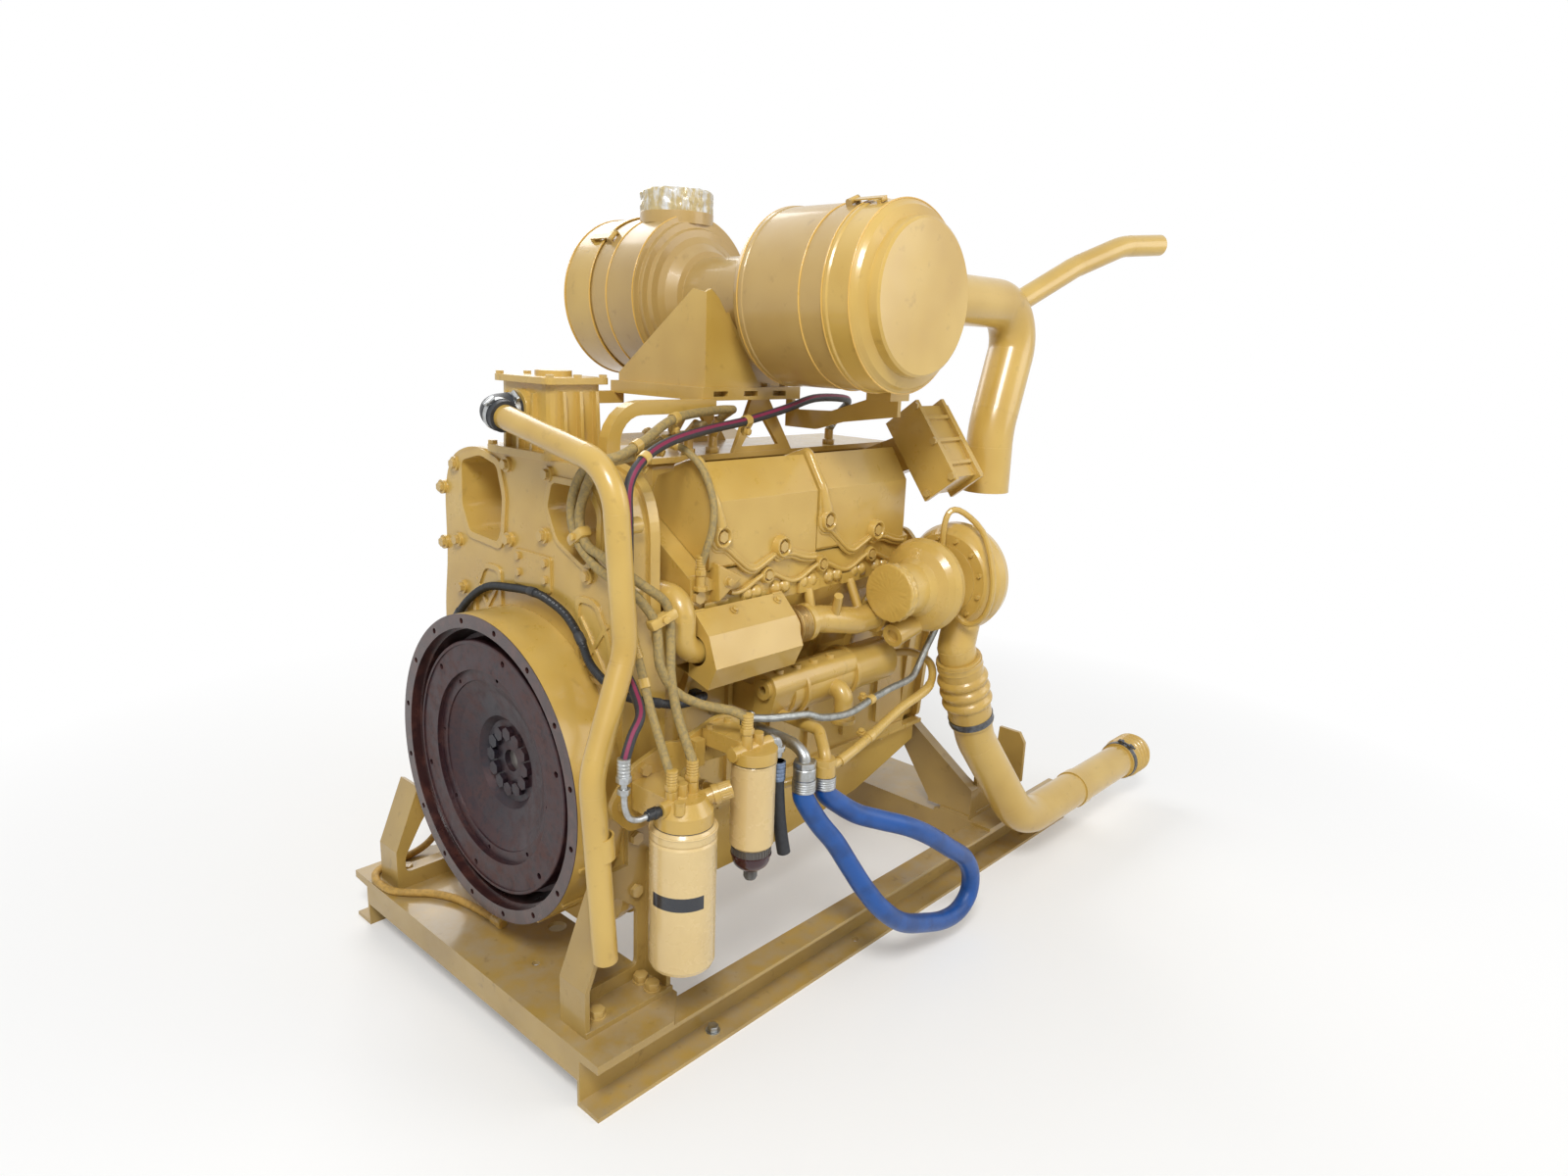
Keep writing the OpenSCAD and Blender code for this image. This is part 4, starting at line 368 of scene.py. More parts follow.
@dataclass(frozen=True)
class MachineEnamel(Finish):
    """Alkyd machine enamel sprayed over castings and sheet in one pass.

    It gives a warm semi-gloss coat that is thin over cast grain, uneven in tone where the
    gun passed twice, and dulled by dust on faces that look up. Its edges are painted
    paler, partly as rubbed wear and partly as a painted highlight where they catch the light.
    """

    colour: str = "#ccaa58"
    shade: str = "#bd9947"
    dust: str = "#c8b27c"
    grime: str = "#6f5426"
    # Paler colour at the edges: partly rubbed wear, partly painted highlight.
    worn_and_highlit: str = "#e2c57c"
    pass_width: float = 220 * MM
    cloud_size: float = 50 * MM
    spot_size: float = 30 * MM
    rub_and_highlight_size: float = 20 * MM
    grain_size: float = 1.6 * MM
    grain_depth: float = 0.22 * MM
    wave_size: float = 35 * MM
    wave_depth: float = 0.0
    roughness: float = 0.27
    dulled: float = 0.14
    dusting: float = 0.25
    grime_share: float = 0.22
    edge: float = 2.2 * MM

    def tint(self, tree: Tree, base: Socket) -> Socket:
        """Return the colour with this finish's own marks laid over it."""
        return base

    def feeds(self, tree: Tree) -> dict[str | int, Any]:
        """Build the enamel's patterns.

        Args:
            tree: Node tree that gets the nodes.

        Returns:
            What feeds the shader, by the name of its input.
        """
        passes = patches(tree, self.pass_width, 2.0, 0.35, 0.65)
        cloud = patches(tree, self.cloud_size, 5.0, 0.35, 0.75, seed=3.0)
        dusty = joined(tree, Join.BOTH, facing_up(tree), cloud, self.dusting)
        spots = patches(tree, self.spot_size, 6.0, 0.62, 0.74, 0.0, self.grime_share, 8.0)
        normal, edge = soft_edges(tree, self.edge)
        # The edges get the paler colour: partly rubbed wear, partly painted highlight where edges
        # catch the light.
        thin = patches(tree, self.rub_and_highlight_size, 4.0, 0.35, 0.6, 0.1, 0.6, seed=6.0)
        rubbed_and_highlit = joined(tree, Join.BOTH, edge, thin)
        base = coats(
            tree,
            self.colour,
            (passes, self.shade),
            (dusty, self.dust),
            (spots, self.grime),
            (rubbed_and_highlit, self.worn_and_highlit),
        )
        feeds = {"Value": cloud, "To Min": self.roughness, "To Max": self.roughness + self.dulled}
        rough = add_node(tree, "ShaderNodeMapRange", feeds)
        skin = [(grain(tree, self.grain_size, 3.0, 1.0), self.grain_depth)]
        if self.wave_depth:
            skin.append((grain(tree, self.wave_size, 1.0, 5.0), self.wave_depth))
        return {
            "Base Color": self.tint(tree, base),
            "Roughness": rough,
            "Normal": reliefs(tree, normal, *skin),
            "IOR": 1.5,
            "Coat Weight": 0.45,
            "Coat Roughness": 0.12,
        }


@dataclass(frozen=True)
class HousingEnamel(MachineEnamel):
    """Enamel that stops at the housing's machined flange face and bore.

    The bare iron there wears a maroon rust preventive, brushed out to the flange's edge.
    """

    bare: str = "#37201f"
    bloom: str = "#52312a"
    bloom_size: float = 30 * MM
    face: float = 1.6 * MM
    bore: float = 348.0 * MM
    bore_depth: float = 108.0 * MM

    def tint(self, tree: Tree, base: Socket) -> Socket:
        """Lay the bare face and bore over the enamel.

        Args:
            tree: Node tree that gets the nodes.
            base: The enamel's colour.

        Returns:
            The colour of both.
        """
        along = coordinate(tree, "X")
        out = distance(tree, (0.0, 0.0, 0.0), (0.0, 1.0, 1.0))
        front = within(tree, along, None, self.face)
        inner = within(tree, out, None, self.bore, 0.3 * MM)
        depth = within(tree, along, None, self.bore_depth, 1.0 * MM)
        mask = joined(tree, Join.EITHER, front, joined(tree, Join.BOTH, inner, depth))
        rust = patches(tree, self.bloom_size, 5.0, 0.45, 0.7, seed=9.0)
        return coats(tree, base, (mask, coats(tree, self.bare, (rust, self.bloom))))


@dataclass(frozen=True)
class BandedEnamel(MachineEnamel):
    """Canister enamel with a plain dark band printed on the side that faces out."""

    ink: str = "#22262e"
    low: float = -142 * MM
    high: float = -112 * MM
    centre: Point = (0.135, -0.525, 0.0)
    faces: Point = (-0.79, -0.61, 0.0)
    half: float = 45 * MM

    def tint(self, tree: Tree, base: Socket) -> Socket:
        """Lay the printed band over the enamel.

        Args:
            tree: Node tree that gets the nodes.
            base: The enamel's colour.

        Returns:
            The colour of both.
        """
        toward = add_node(tree, "ShaderNodeTexCoord", out="Object")
        toward = add_node(
            tree, "ShaderNodeVectorMath", {0: toward, 1: self.centre}, operation="SUBTRACT"
        )
        toward = add_node(
            tree,
            "ShaderNodeVectorMath",
            {0: toward, 1: self.faces},
            "Value",
            operation="DOT_PRODUCT",
        )
        front = within(tree, toward, self.half, None)
        level = within(tree, coordinate(tree, "Z"), self.low, self.high)
        return coats(tree, base, (joined(tree, Join.BOTH, level, front), self.ink))


@dataclass(frozen=True)
class CoatedIron(Finish):
    """Turned cast iron under a brushed, darkened rust preventive.

    It gives a maroon-brown skin with fine rings from the lathe and duller rust blooms,
    and painted shade with a bluish painted sheen that darkens it towards the hub.
    """

    colour: str = "#382024"
    bloom: str = "#4c2e2a"
    dark: str = "#1c1820"
    # Colour of the painted shade with a bluish painted sheen towards the hub.
    hub_shade: str = "#1a1e28"
    hub: float = 0.23
    bloom_size: float = 40 * MM
    stain_size: float = 12 * MM
    hub_shade_patch_size: float = 90 * MM
    ring_pitch: float = 2.4 * MM
    ring_depth: float = 0.05 * MM
    grit_size: float = 2 * MM
    grit_depth: float = 0.2 * MM
    roughness: float = 0.34
    dulled: float = 0.25

    def feeds(self, tree: Tree) -> dict[str | int, Any]:
        """Build the iron's patterns.

        Args:
            tree: Node tree that gets the nodes.

        Returns:
            What feeds the shader, by the name of its input.
        """
        rings = add_node(
            tree,
            "ShaderNodeTexWave",
            {
                "Vector": add_node(tree, "ShaderNodeTexCoord", out="Object"),
                "Scale": 2 * math.pi / (20 * self.ring_pitch),
                "Distortion": 0.4,
            },
            "Fac",
            wave_type="RINGS",
            rings_direction="X",
        )
        blooms = patches(tree, self.bloom_size, 5.0, 0.42, 0.68)
        stain = patches(tree, self.stain_size, 4.0, 0.5, 0.7, 0.0, 0.7, seed=4.0)
        base = coats(tree, self.colour, (blooms, self.bloom), (stain, self.dark))
        # Painted shade with a bluish painted sheen: darkest at the hub, fading out by the hub
        # radius, laid in uneven patches.
        if self.hub:
            out = distance(tree, (0.0, 0.0, 0.0), (0.0, 1.0, 1.0))
            feeds = {"Value": out, "From Min": self.hub * 0.4, "From Max": self.hub}
            feeds |= {"To Min": 0.85, "To Max": 0.0}
            near = add_node(tree, "ShaderNodeMapRange", feeds)
            brushed = patches(tree, self.hub_shade_patch_size, 3.0, 0.38, 0.62, 0.35, 1.0, 7.0)
            base = coats(tree, base, (joined(tree, Join.BOTH, near, brushed), self.hub_shade))
        normal, _ = soft_edges(tree, 1.2 * MM)
        feeds = {"Value": blooms, "To Min": self.roughness, "To Max": self.roughness + self.dulled}
        rough = add_node(tree, "ShaderNodeMapRange", feeds)
        grit = grain(tree, self.grit_size, 4.0, 2.0)
        return {
            "Base Color": base,
            "Roughness": rough,
            "Normal": reliefs(
                tree, normal, (rings, self.ring_depth), (grit, self.grit_depth)
            ),
            "Metallic": 0.25,
            "IOR": 1.5,
        }


@dataclass(frozen=True)
class PlatedSteel(Finish):
    """Zinc plated steel: soft bluish-grey shine with faint drawing marks."""

    colour: str = "#b9bcbe"
    stain: str = "#8d8774"
    roughness: float = 0.34
    dulled: float = 0.2
    stain_size: float = 10 * MM
    mark_size: float = 0.8 * MM
    mark_depth: float = 0.04 * MM

    def feeds(self, tree: Tree) -> dict[str | int, Any]:
        """Build the plating's patterns.

        Args:
            tree: Node tree that gets the nodes.

        Returns:
            What feeds the shader, by the name of its input.
        """
        stains = patches(tree, self.stain_size, 4.0, 0.4, 0.75, 0.0, 0.6)
        normal, _ = soft_edges(tree, 0.5 * MM)
        feeds = {"Value": stains, "To Min": self.roughness, "To Max": self.roughness + self.dulled}
        marks = grain(tree, self.mark_size, 2.0)
        return {
            "Base Color": coats(tree, self.colour, (stains, self.stain)),
            "Roughness": add_node(tree, "ShaderNodeMapRange", feeds),
            "Normal": reliefs(tree, normal, (marks, self.mark_depth)),
            "Metallic": 1.0,
        }


@dataclass(frozen=True)
class Rubber(Finish):
    """Extruded and vulcanised rubber: matt, with a fine grain and a dusty bloom."""

    colour: str = "#212327"
    bloom: str = "#4b4d50"
    roughness: float = 0.55
    amount: float = 0.5
    bloom_size: float = 20 * MM
    grain_size: float = 1.0 * MM
    grain_depth: float = 0.12 * MM

    def feeds(self, tree: Tree) -> dict[str | int, Any]:
        """Build the rubber's patterns.

        Args:
            tree: Node tree that gets the nodes.

        Returns:
            What feeds the shader, by the name of its input.
        """
        blooms = patches(tree, self.bloom_size, 5.0, 0.4, 0.8, 0.0, self.amount)
        skin = grain(tree, self.grain_size, 3.0)
        return {
            "Base Color": coats(tree, self.colour, (blooms, self.bloom)),
            "Roughness": self.roughness,
            "Normal": reliefs(tree, None, (skin, self.grain_depth)),
            "IOR": 1.52,
        }


@dataclass(frozen=True)
class TextileHose(Finish):
    """Rubber hose with a wrapped or braided textile cover: crossed cords with paler crowns,
    partly from wear and partly as painted highlight.

    UV runs in metres, U round the hose and V along it, so the cords keep their pitch.
    """

    colour: str = "#8b7a44"
    second: str = "#6b5d35"
    # Paler colour of the cords' crowns: partly wear, partly painted highlight.
    worn_and_highlit: str = "#b29a5d"
    stripe: str = ""
    stripe_at: float = 54.5 * MM
    stripe_half: float = 3.4 * MM
    pitch: float = 2.2 * MM
    lean: float = 54.0
    depth: float = 0.3 * MM
    speckle: float = 12 * MM
    roughness: float = 0.6
    metallic: float = 0.0

    def feeds(self, tree: Tree) -> dict[str | int, Any]:
        """Build the hose cover's patterns.

        Args:
            tree: Node tree that gets the nodes.

        Returns:
            What feeds the shader, by the name of its input.
        """
        coords = add_node(tree, "ShaderNodeTexCoord", out="UV")
        cords = []
        for lean in (self.lean, -self.lean):
            turn = (0.0, 0.0, math.radians(lean))
            place = add_node(tree, "ShaderNodeMapping", {"Vector": coords, "Rotation": turn})
            feeds = {"Vector": place, "Scale": 2 * math.pi / (20 * self.pitch), "Distortion": 0.5}
            cords.append(add_node(tree, "ShaderNodeTexWave", feeds, "Fac", bands_direction="X"))
        weave = joined(tree, Join.EITHER, *cords)
        # The raised crowns of the cords get the paler colour: partly wear, partly painted
        # highlight.
        feeds = {"Value": weave, "From Min": 0.55, "From Max": 1.0, "To Max": 0.3}
        raised = add_node(tree, "ShaderNodeMapRange", feeds)
        speckles = patches(tree, self.speckle, 6.0, 0.42, 0.6)
        base = coats(tree, self.colour, (speckles, self.second), (raised, self.worn_and_highlit))
        if self.stripe:
            around = add_node(tree, "ShaderNodeSeparateXYZ", {0: coords}, "X")
            soft = 0.6 * MM
            low = self.stripe_at - self.stripe_half - soft
            band = within(tree, around, low, self.stripe_at + self.stripe_half, soft)
            base = coats(tree, base, (band, self.stripe))
        return {
            "Base Color": base,
            "Roughness": self.roughness,
            "Normal": reliefs(tree, None, (weave, self.depth)),
            "Metallic": self.metallic,
        }


@dataclass(frozen=True)
class ClearPlastic(Finish):
    """Moulded clear bowl, dark red where fuel stands in it and smoky above."""

    colour: str = "#380a18"
    upper: str = "#56504a"
    level: float = -106 * MM
    share: float = 0.12
    roughness: float = 0.1
    swirl_size: float = 20 * MM
    swirl_depth: float = 0.1 * MM

    def feeds(self, tree: Tree) -> dict[str | int, Any]:
        """Build the plastic's patterns.

        Args:
            tree: Node tree that gets the nodes.

        Returns:
            What feeds the shader, by the name of its input.
        """
        above = within(tree, coordinate(tree, "Z"), self.level, None, 2 * MM)
        swirl = grain(tree, self.swirl_size, 2.0)
        return {
            "Base Color": coats(tree, self.colour, (above, self.upper)),
            "Roughness": self.roughness,
            "Normal": reliefs(tree, None, (swirl, self.swirl_depth)),
            "IOR": 1.49,
            "Transmission Weight": self.share,
            "Coat Weight": 0.4,
            "Coat Roughness": 0.05,
        }


@dataclass(frozen=True)
class WrapFilm(Finish):
    """Clouded polyethylene film drawn over an opening: glossy, with white painted highlights on
    its creases.
    """

    colour: str = "#d8c48e"
    # Colour of the painted highlight on the film's folds.
    crease: str = "#f4f6f7"
    fold_size: float = 18 * MM
    fold_depth: float = 3 * MM

    def feeds(self, tree: Tree) -> dict[str | int, Any]:
        """Build the film's patterns.

        Args:
            tree: Node tree that gets the nodes.

        Returns:
            What feeds the shader, by the name of its input.
        """
        folds = grain(tree, self.fold_size, 4.0, stretch=(1.0, 1.0, 0.35))
        # The fold peaks get the painted highlight colour.
        feeds = {"Value": folds, "From Min": 0.5, "From Max": 0.66}
        light = add_node(tree, "ShaderNodeMapRange", feeds)
        return {
            "Base Color": coats(tree, self.colour, (light, self.crease)),
            "Roughness": 0.16,
            "Normal": reliefs(tree, None, (folds, self.fold_depth)),
            "IOR": 1.51,
            "Transmission Weight": 0.25,
        }


@dataclass(frozen=True)
class PaleFloor(Finish):
    """Plain pale floor that takes the shadow and runs out to pure white."""

    colour: str = "#f6f6f4"
    second: str = "#f8f8f7"
    centre: Point = (0.9, 0.0, 0.0)
    cloud_size: float = 600 * MM
    near: float = 1.3
    far: float = 2.9

    def surface(self, tree: Tree) -> Socket:
        """Build the floor's shader.

        Args:
            tree: Node tree that gets the nodes.

        Returns:
            The shader's output socket.
        """
        tone = coats(tree, self.colour, (grain(tree, self.cloud_size, 2.0), self.second))
        feeds = {"Value": distance(tree, self.centre), "From Min": self.near}
        feeds |= {"From Max": self.far, "To Min": 0.25, "To Max": 1.0}
        fade = add_node(tree, "ShaderNodeMapRange", feeds)
        return add_node(
            tree,
            "ShaderNodeMixShader",
            {
                0: joined(tree, Join.BOTH, fade, backdrop_rays(tree)),
                1: add_node(
                    tree, "ShaderNodeBsdfPrincipled", {"Base Color": tone, "Roughness": 0.8}
                ),
                2: add_node(tree, "ShaderNodeEmission", {"Color": "#ffffff"}),
            },
        )


# The castings keep the sand's grain under the coat.
CAST = MachineEnamel("cast_iron_in_enamel")
HOUSING = HousingEnamel("flywheel_housing_in_enamel")

# Pressed sheet is smooth under the same coat, with tight bends for edges.
SMOOTH = {"grain_size": 2.6 * MM, "grain_depth": 0.04 * MM}
SHEET = MachineEnamel("pressed_sheet_in_enamel", **SMOOTH, roughness=0.28, edge=1.0 * MM)

# The same coat dulled by dust, with wide paler edges on the cans: partly rubbed wear, partly
# painted highlight.
DUSTY = MachineEnamel(
    "pressed_can_in_dull_enamel",
    colour="#b8995a",
    shade="#ab8c50",
    dust="#bda981",
    worn_and_highlit="#dcb765",
    **SMOOTH,
    roughness=0.36,
    dusting=0.5,
    edge=3.0 * MM,
)

# Forged heads are paler, because the coat runs off their corners.
BOLTS = MachineEnamel(
    "bolt_heads_in_enamel",
    colour="#c9ab66",
    shade="#b89751",
    grain_depth=0.05 * MM,
    roughness=0.3,
    dusting=0.4,
    edge=0.5 * MM,
)

# Rolled edges stand clear of the dust and keep the coat's full colour.
BRIGHT = MachineEnamel(
    "rolled_edge_in_enamel",
    colour="#d9b056",
    shade="#cda144",
    grain_depth=0.04 * MM,
    dusting=0.05,
    edge=0.6 * MM,
)

# Hot rolled plate is slightly wavy and, low on the unit, browned by dust and grime.
PLATE = MachineEnamel(
    "hot_rolled_steel_in_enamel",
    grain_size=3.2 * MM,
    grain_depth=0.08 * MM,
    wave_depth=0.4 * MM,
    roughness=0.34,
    edge=1.2 * MM,
    colour="#b4954f",
    shade="#a08346",
    dust="#a5957a",
    dusting=0.85,
    grime_share=0.4,
)

# The canisters' own cream coat is glossier and cleaner, and one of them is printed.
CANISTER: dict[str, Any] = {
    "colour": "#d9bf88",
    "shade": "#d2b67d",
    "dust": "#dcc69b",
    "grime": "#a58655",
    "worn_and_highlit": "#e8cfa0",
    "grain_size": 2.6 * MM,
    "grain_depth": 0.02 * MM,
    "roughness": 0.22,
    "dusting": 0.1,
    "grime_share": 0.12,
    "edge": 1.0 * MM,
}
CREAM = MachineEnamel("canister_in_cream_enamel", **CANISTER)
PRINTED = BandedEnamel("canister_in_printed_enamel", **CANISTER)

IRON = CoatedIron("turned_iron_in_preventive")

# Forged and left bare: a dull grey skin, without the painted shade at the hub.
FORGED = CoatedIron(
    "forged_steel", colour="#857d74", bloom="#6d665e", dark="#4a453f", hub=0.0
)

# Plated, heat tinted, blued and oiled steels, from bright to nearly black.
ZINC = PlatedSteel("zinc_plated_steel")
WORN_STEEL = PlatedSteel(
    "worn_bellows_steel", colour="#c6b184", stain="#b8913f", roughness=0.3
)
BLUED = PlatedSteel("blued_zinc_steel", colour="#7f8fa8", stain="#4d586a", roughness=0.4)
DARK_STEEL = PlatedSteel("oiled_clamp_steel", colour="#6a6c70", stain="#3a3835", roughness=0.3)

# Rubber is matt; the moulded plastics beside it have a low, even gloss.
BLACK_RUBBER = Rubber("moulded_black_rubber")
BLACK_PLASTIC = Rubber(
    "moulded_black_plastic", colour="#1d1f22", bloom="#33363a", roughness=0.4
)
GREY_PLASTIC = Rubber(
    "moulded_grey_plastic", colour="#5b5a58", bloom="#77746e", roughness=0.42
)

# Wrapped rubber: coarse cords drawn wide enough to show, under a glossy blue cover.
BLUE_HOSE = TextileHose(
    "blue_rubber_hose",
    colour="#0c4a96",
    second="#093a7a",
    worn_and_highlit="#2767ad",
    pitch=3.4 * MM,
    depth=0.2 * MM,
    speckle=50 * MM,
    roughness=0.36,
)

# Braided textile that took the spray with the engine: the cords' crowns are paler, partly from
# wear and partly as painted highlight.
OLIVE_HOSE = TextileHose(
    "textile_braid_in_enamel",
    colour="#a58c52",
    second="#857651",
    worn_and_highlit="#b8a062",
    speckle=7 * MM,
)
PAINTED_HOSE = TextileHose(
    "hose_in_enamel", colour="#bb9345", second="#a17d39", worn_and_highlit="#cfae66", depth=0.15 * MM
)

# Black covers, one with the maroon layline that runs along it.
STRIPED_HOSE = TextileHose(
    "black_hose_with_stripe",
    colour="#26272b",
    second="#1d1e22",
    worn_and_highlit="#3a3b40",
    stripe="#7f1d43",
    roughness=0.45,
)
BLACK_HOSE = TextileHose(
    "black_rubber_hose", colour="#24262a", second="#1b1d20", worn_and_highlit="#3b3d42", roughness=0.5
)

# Stainless wire over a liner: a bright, deep braid drawn coarse enough to show.
STEEL_BRAID = TextileHose(
    "stainless_wire_braid",
    colour="#a9acaa",
    second="#8c8f8c",
    worn_and_highlit="#d3d5d2",
    pitch=2.6 * MM,
    depth=0.5 * MM,
    roughness=0.35,
    metallic=0.9,
)
RED_PLASTIC = ClearPlastic("clear_bowl_over_red_fuel")
FILM = WrapFilm("polyethylene_film")


# ---------------------------------------------------------------- mesh tools
def flow(points: Sequence[Point], steps: int) -> list[Vector]:
    """Run a smooth line through points.

    Args:
        points: Points in millimetres.
        steps: Number of steps between neighbours.

    Returns:
        The line's points, both ends included.
    """
    last = len(points) - 1
    line = []
    for i in range(last):
        a, b, c, d = (Vector(points[k]) for k in (max(i - 1, 0), i, i + 1, min(i + 2, last)))
        for k in range(steps + (i == last - 1)):
            t = k / steps
            bend = (2 * a - 5 * b + 4 * c - d) * t * t + (3 * b - a - 3 * c + d) * t**3
            line.append(0.5 * (2 * b + (c - a) * t + bend))
    return line


def run_length(line: list[Vector]) -> float:
    """Return the length of a line of points."""
    return sum((b - a).length for a, b in zip(line, line[1:]))


def even(line: list[Vector], pitch: float) -> list[Vector]:
    """Space points evenly along a line, both ends included.

    Args:
        line: The line's points.
        pitch: Distance between neighbours, rounded to fill the line.

    Returns:
        The new points.
    """
    count = max(2, round(run_length(line) / pitch))
    step = run_length(line) / count
    made, gone, target = [line[0]], 0.0, step
    for a, b in zip(line, line[1:]):
        span = (b - a).length
        while gone + span >= target - 1e-6 and len(made) < count:
            made.append(a.lerp(b, (target - gone) / span))
            target += step
        gone += span
    return made + [line[-1]]


def spot(line: list[Vector], near: Where) -> tuple[Vector, Vector]:
    """Find a place on a line.

    Args:
        line: The line's points.
        near: A point near the place.

    Returns:
        The line's point nearest to it, and the line's direction there.
    """
    i = min(range(len(line)), key=lambda k: (line[k] - Vector(near)).length)
    ahead = line[min(i + 1, len(line) - 1)] - line[max(i - 1, 0)]
    return line[i], ahead.normalized()


def facing(foot: Where, axis: Where) -> Matrix:
    """Return the placement that stands local +Z along axis at foot."""
    turn = Vector(axis).normalized().to_track_quat("Z", "Y")
    return Matrix.Translation(foot) @ turn.to_matrix().to_4x4()


def roll_to(axis: Vector, want: Vector) -> float:
    """Return the turn in degrees about an axis that brings local +X along a direction."""
    local = facing((0, 0, 0), axis).to_3x3().inverted() @ want
    return math.degrees(math.atan2(local.y, local.x))


@dataclass
class Shell:
    """A mesh in millimetres on its way to becoming one finished piece."""

    name: str
    finish: Finish
    mesh: bmesh.types.BMesh = field(default_factory=bmesh.new)

    def __post_init__(self) -> None:
        """Give the mesh its UV layer."""
        self.mesh.loops.layers.uv.new("UVMap")

    @staticmethod
    def part() -> bmesh.types.BMesh:
        """Start a part with a UV layer of the same name.

        Returns:
            The part.
        """
        made = bmesh.new()
        made.loops.layers.uv.new("UVMap")
        return made

    def take(self, part: bmesh.types.BMesh, place: Matrix | None = None) -> Shell:
        """Close a part's seams, turn its faces outwards and merge it in.

        Args:
            part: The part, which is used up.
            place: Where it goes; None leaves it where it is.

        Returns:
            This shell.
        """
        bmesh.ops.remove_doubles(part, verts=part.verts, dist=1e-3)
        bmesh.ops.recalc_face_normals(part, faces=part.faces)
        if place is not None:
            bmesh.ops.transform(part, matrix=place, verts=part.verts)
        mesh = bpy.data.meshes.new("part")
        part.to_mesh(mesh)
        part.free()
        self.mesh.from_mesh(mesh)
        bpy.data.meshes.remove(mesh)
        return self

    @staticmethod
    def spun(profile: Outline, steps: int, ring: bool = False) -> bmesh.types.BMesh:
        """Spin a profile of (radius, height) points round the Z axis.

        Args:
            profile: The outline; it starts and ends on the axis unless it is a ring.
            steps: Number of steps in the full turn.
            ring: True closes the outline on itself.

        Returns:
            The part.
        """
        part = Shell.part()
        verts = [part.verts.new((r, 0, h)) for r, h in profile]
        pairs = list(zip(verts, verts[1:])) + ([(verts[-1], verts[0])] if ring else [])
        bmesh.ops.spin(
            part,
            geom=verts + [part.edges.new(pair) for pair in pairs],
            cent=(0, 0, 0),
            axis=(0, 0, 1),
            dvec=(0, 0, 0),
            angle=2 * math.pi,
            steps=steps,
            use_merge=True,
            use_duplicate=False,
        )
        return part

    def turned(
        self,
        profile: Outline,
        foot: Where = (0, 0, 0),
        axis: Where = (0, 0, 1),
        steps: int = 48,
        ring: bool = False,
    ) -> Shell:
        """Add a turned shape.

        Args:
            profile: Its outline of (radius, height) points.
            foot: Point of the axis where height is 0.
            axis: Direction of the axis.
            steps: Number of steps in the full turn.
            ring: True closes the outline on itself.

        Returns:
            This shell.
        """
        return self.take(self.spun(profile, steps, ring), facing(foot, axis))

    def disc(self, radius: float, height: float, foot: Where, axis: Where, steps: int) -> Shell:
        """Add a plain disc, pin or washer that stands at foot along axis."""
        outline = [(0, 0), (radius, 0), (radius, height), (0, height)]
        return self.turned(outline, foot, axis, steps)

    def hexagon(self, foot: Where, axis: Where, across: float, height: float) -> Shell:
        """Add a hexagon nut or head with eased edges.

        Args:
            foot: Centre of its lower face.
            axis: Direction it stands in.
            across: Size over two corners.
            height: Its height.

        Returns:
            This shell.
        """
        part = self.part()
        bmesh.ops.create_cone(
            part,
            cap_ends=True,
            segments=6,
            radius1=across / 2,
            radius2=across / 2,
            depth=height,
        )
        bmesh.ops.translate(part, verts=part.verts, vec=(0, 0, height / 2))
        self.ease(part, across * 0.04)
        return self.take(part, facing(foot, axis))

    def bolt(
        self,
        foot: Where,
        axis: Where,
        washer: tuple[float, float],
        head: tuple[float, float],
        steps: int = 32,
    ) -> Shell:
        """Add a bolt's head on its washer.

        Args:
            foot: Centre of the washer's lower face.
            axis: Direction the head stands in.
            washer: The washer's radius and thickness.
            head: The head's size over two corners and its height.
            steps: Number of steps round the washer.

        Returns:
            This shell.
        """
        self.disc(*washer, foot, axis, steps)
        return self.hexagon(Vector(foot) + Vector(axis) * washer[1], axis, *head)

    @staticmethod
    def ease(part: bmesh.types.BMesh, width: float, segments: int = 2) -> None:
        """Round the sharp edges of a part.

        Args:
            part: The part.
            width: Radius of the rounding.
            segments: Number of steps over it.
        """
        sharp = [e for e in part.edges if e.is_manifold and e.calc_face_angle(0.0) > 0.5]
        bmesh.ops.bevel(
            part,
            geom=sharp,
            offset=width,
            offset_type="OFFSET",
            affect="EDGES",
            segments=segments,
            profile=0.5,
            clamp_overlap=True,
            material=-1,
        )

    def block(
        self,
        size: Point,
        foot: Where,
        axis: Where = (0, 0, 1),
        roll: float = 0.0,
        ease: float = 0.8,
    ) -> Shell:
        """Add a block with rounded edges.

        Args:
            size: Its size in its own axes.
            foot: Centre of its lower face.
            axis: Direction its height runs in.
            roll: Turn about that axis in degrees.
            ease: Radius of its edges.

        Returns:
            This shell.
        """
        part = self.part()
        bmesh.ops.create_cube(part, size=1)
        bmesh.ops.scale(part, verts=part.verts, vec=size)
        bmesh.ops.translate(part, verts=part.verts, vec=(0, 0, size[2] / 2))
        self.ease(part, ease)
        turn = Matrix.Rotation(math.radians(roll), 4, "Z")
        return self.take(part, facing(foot, axis) @ turn)

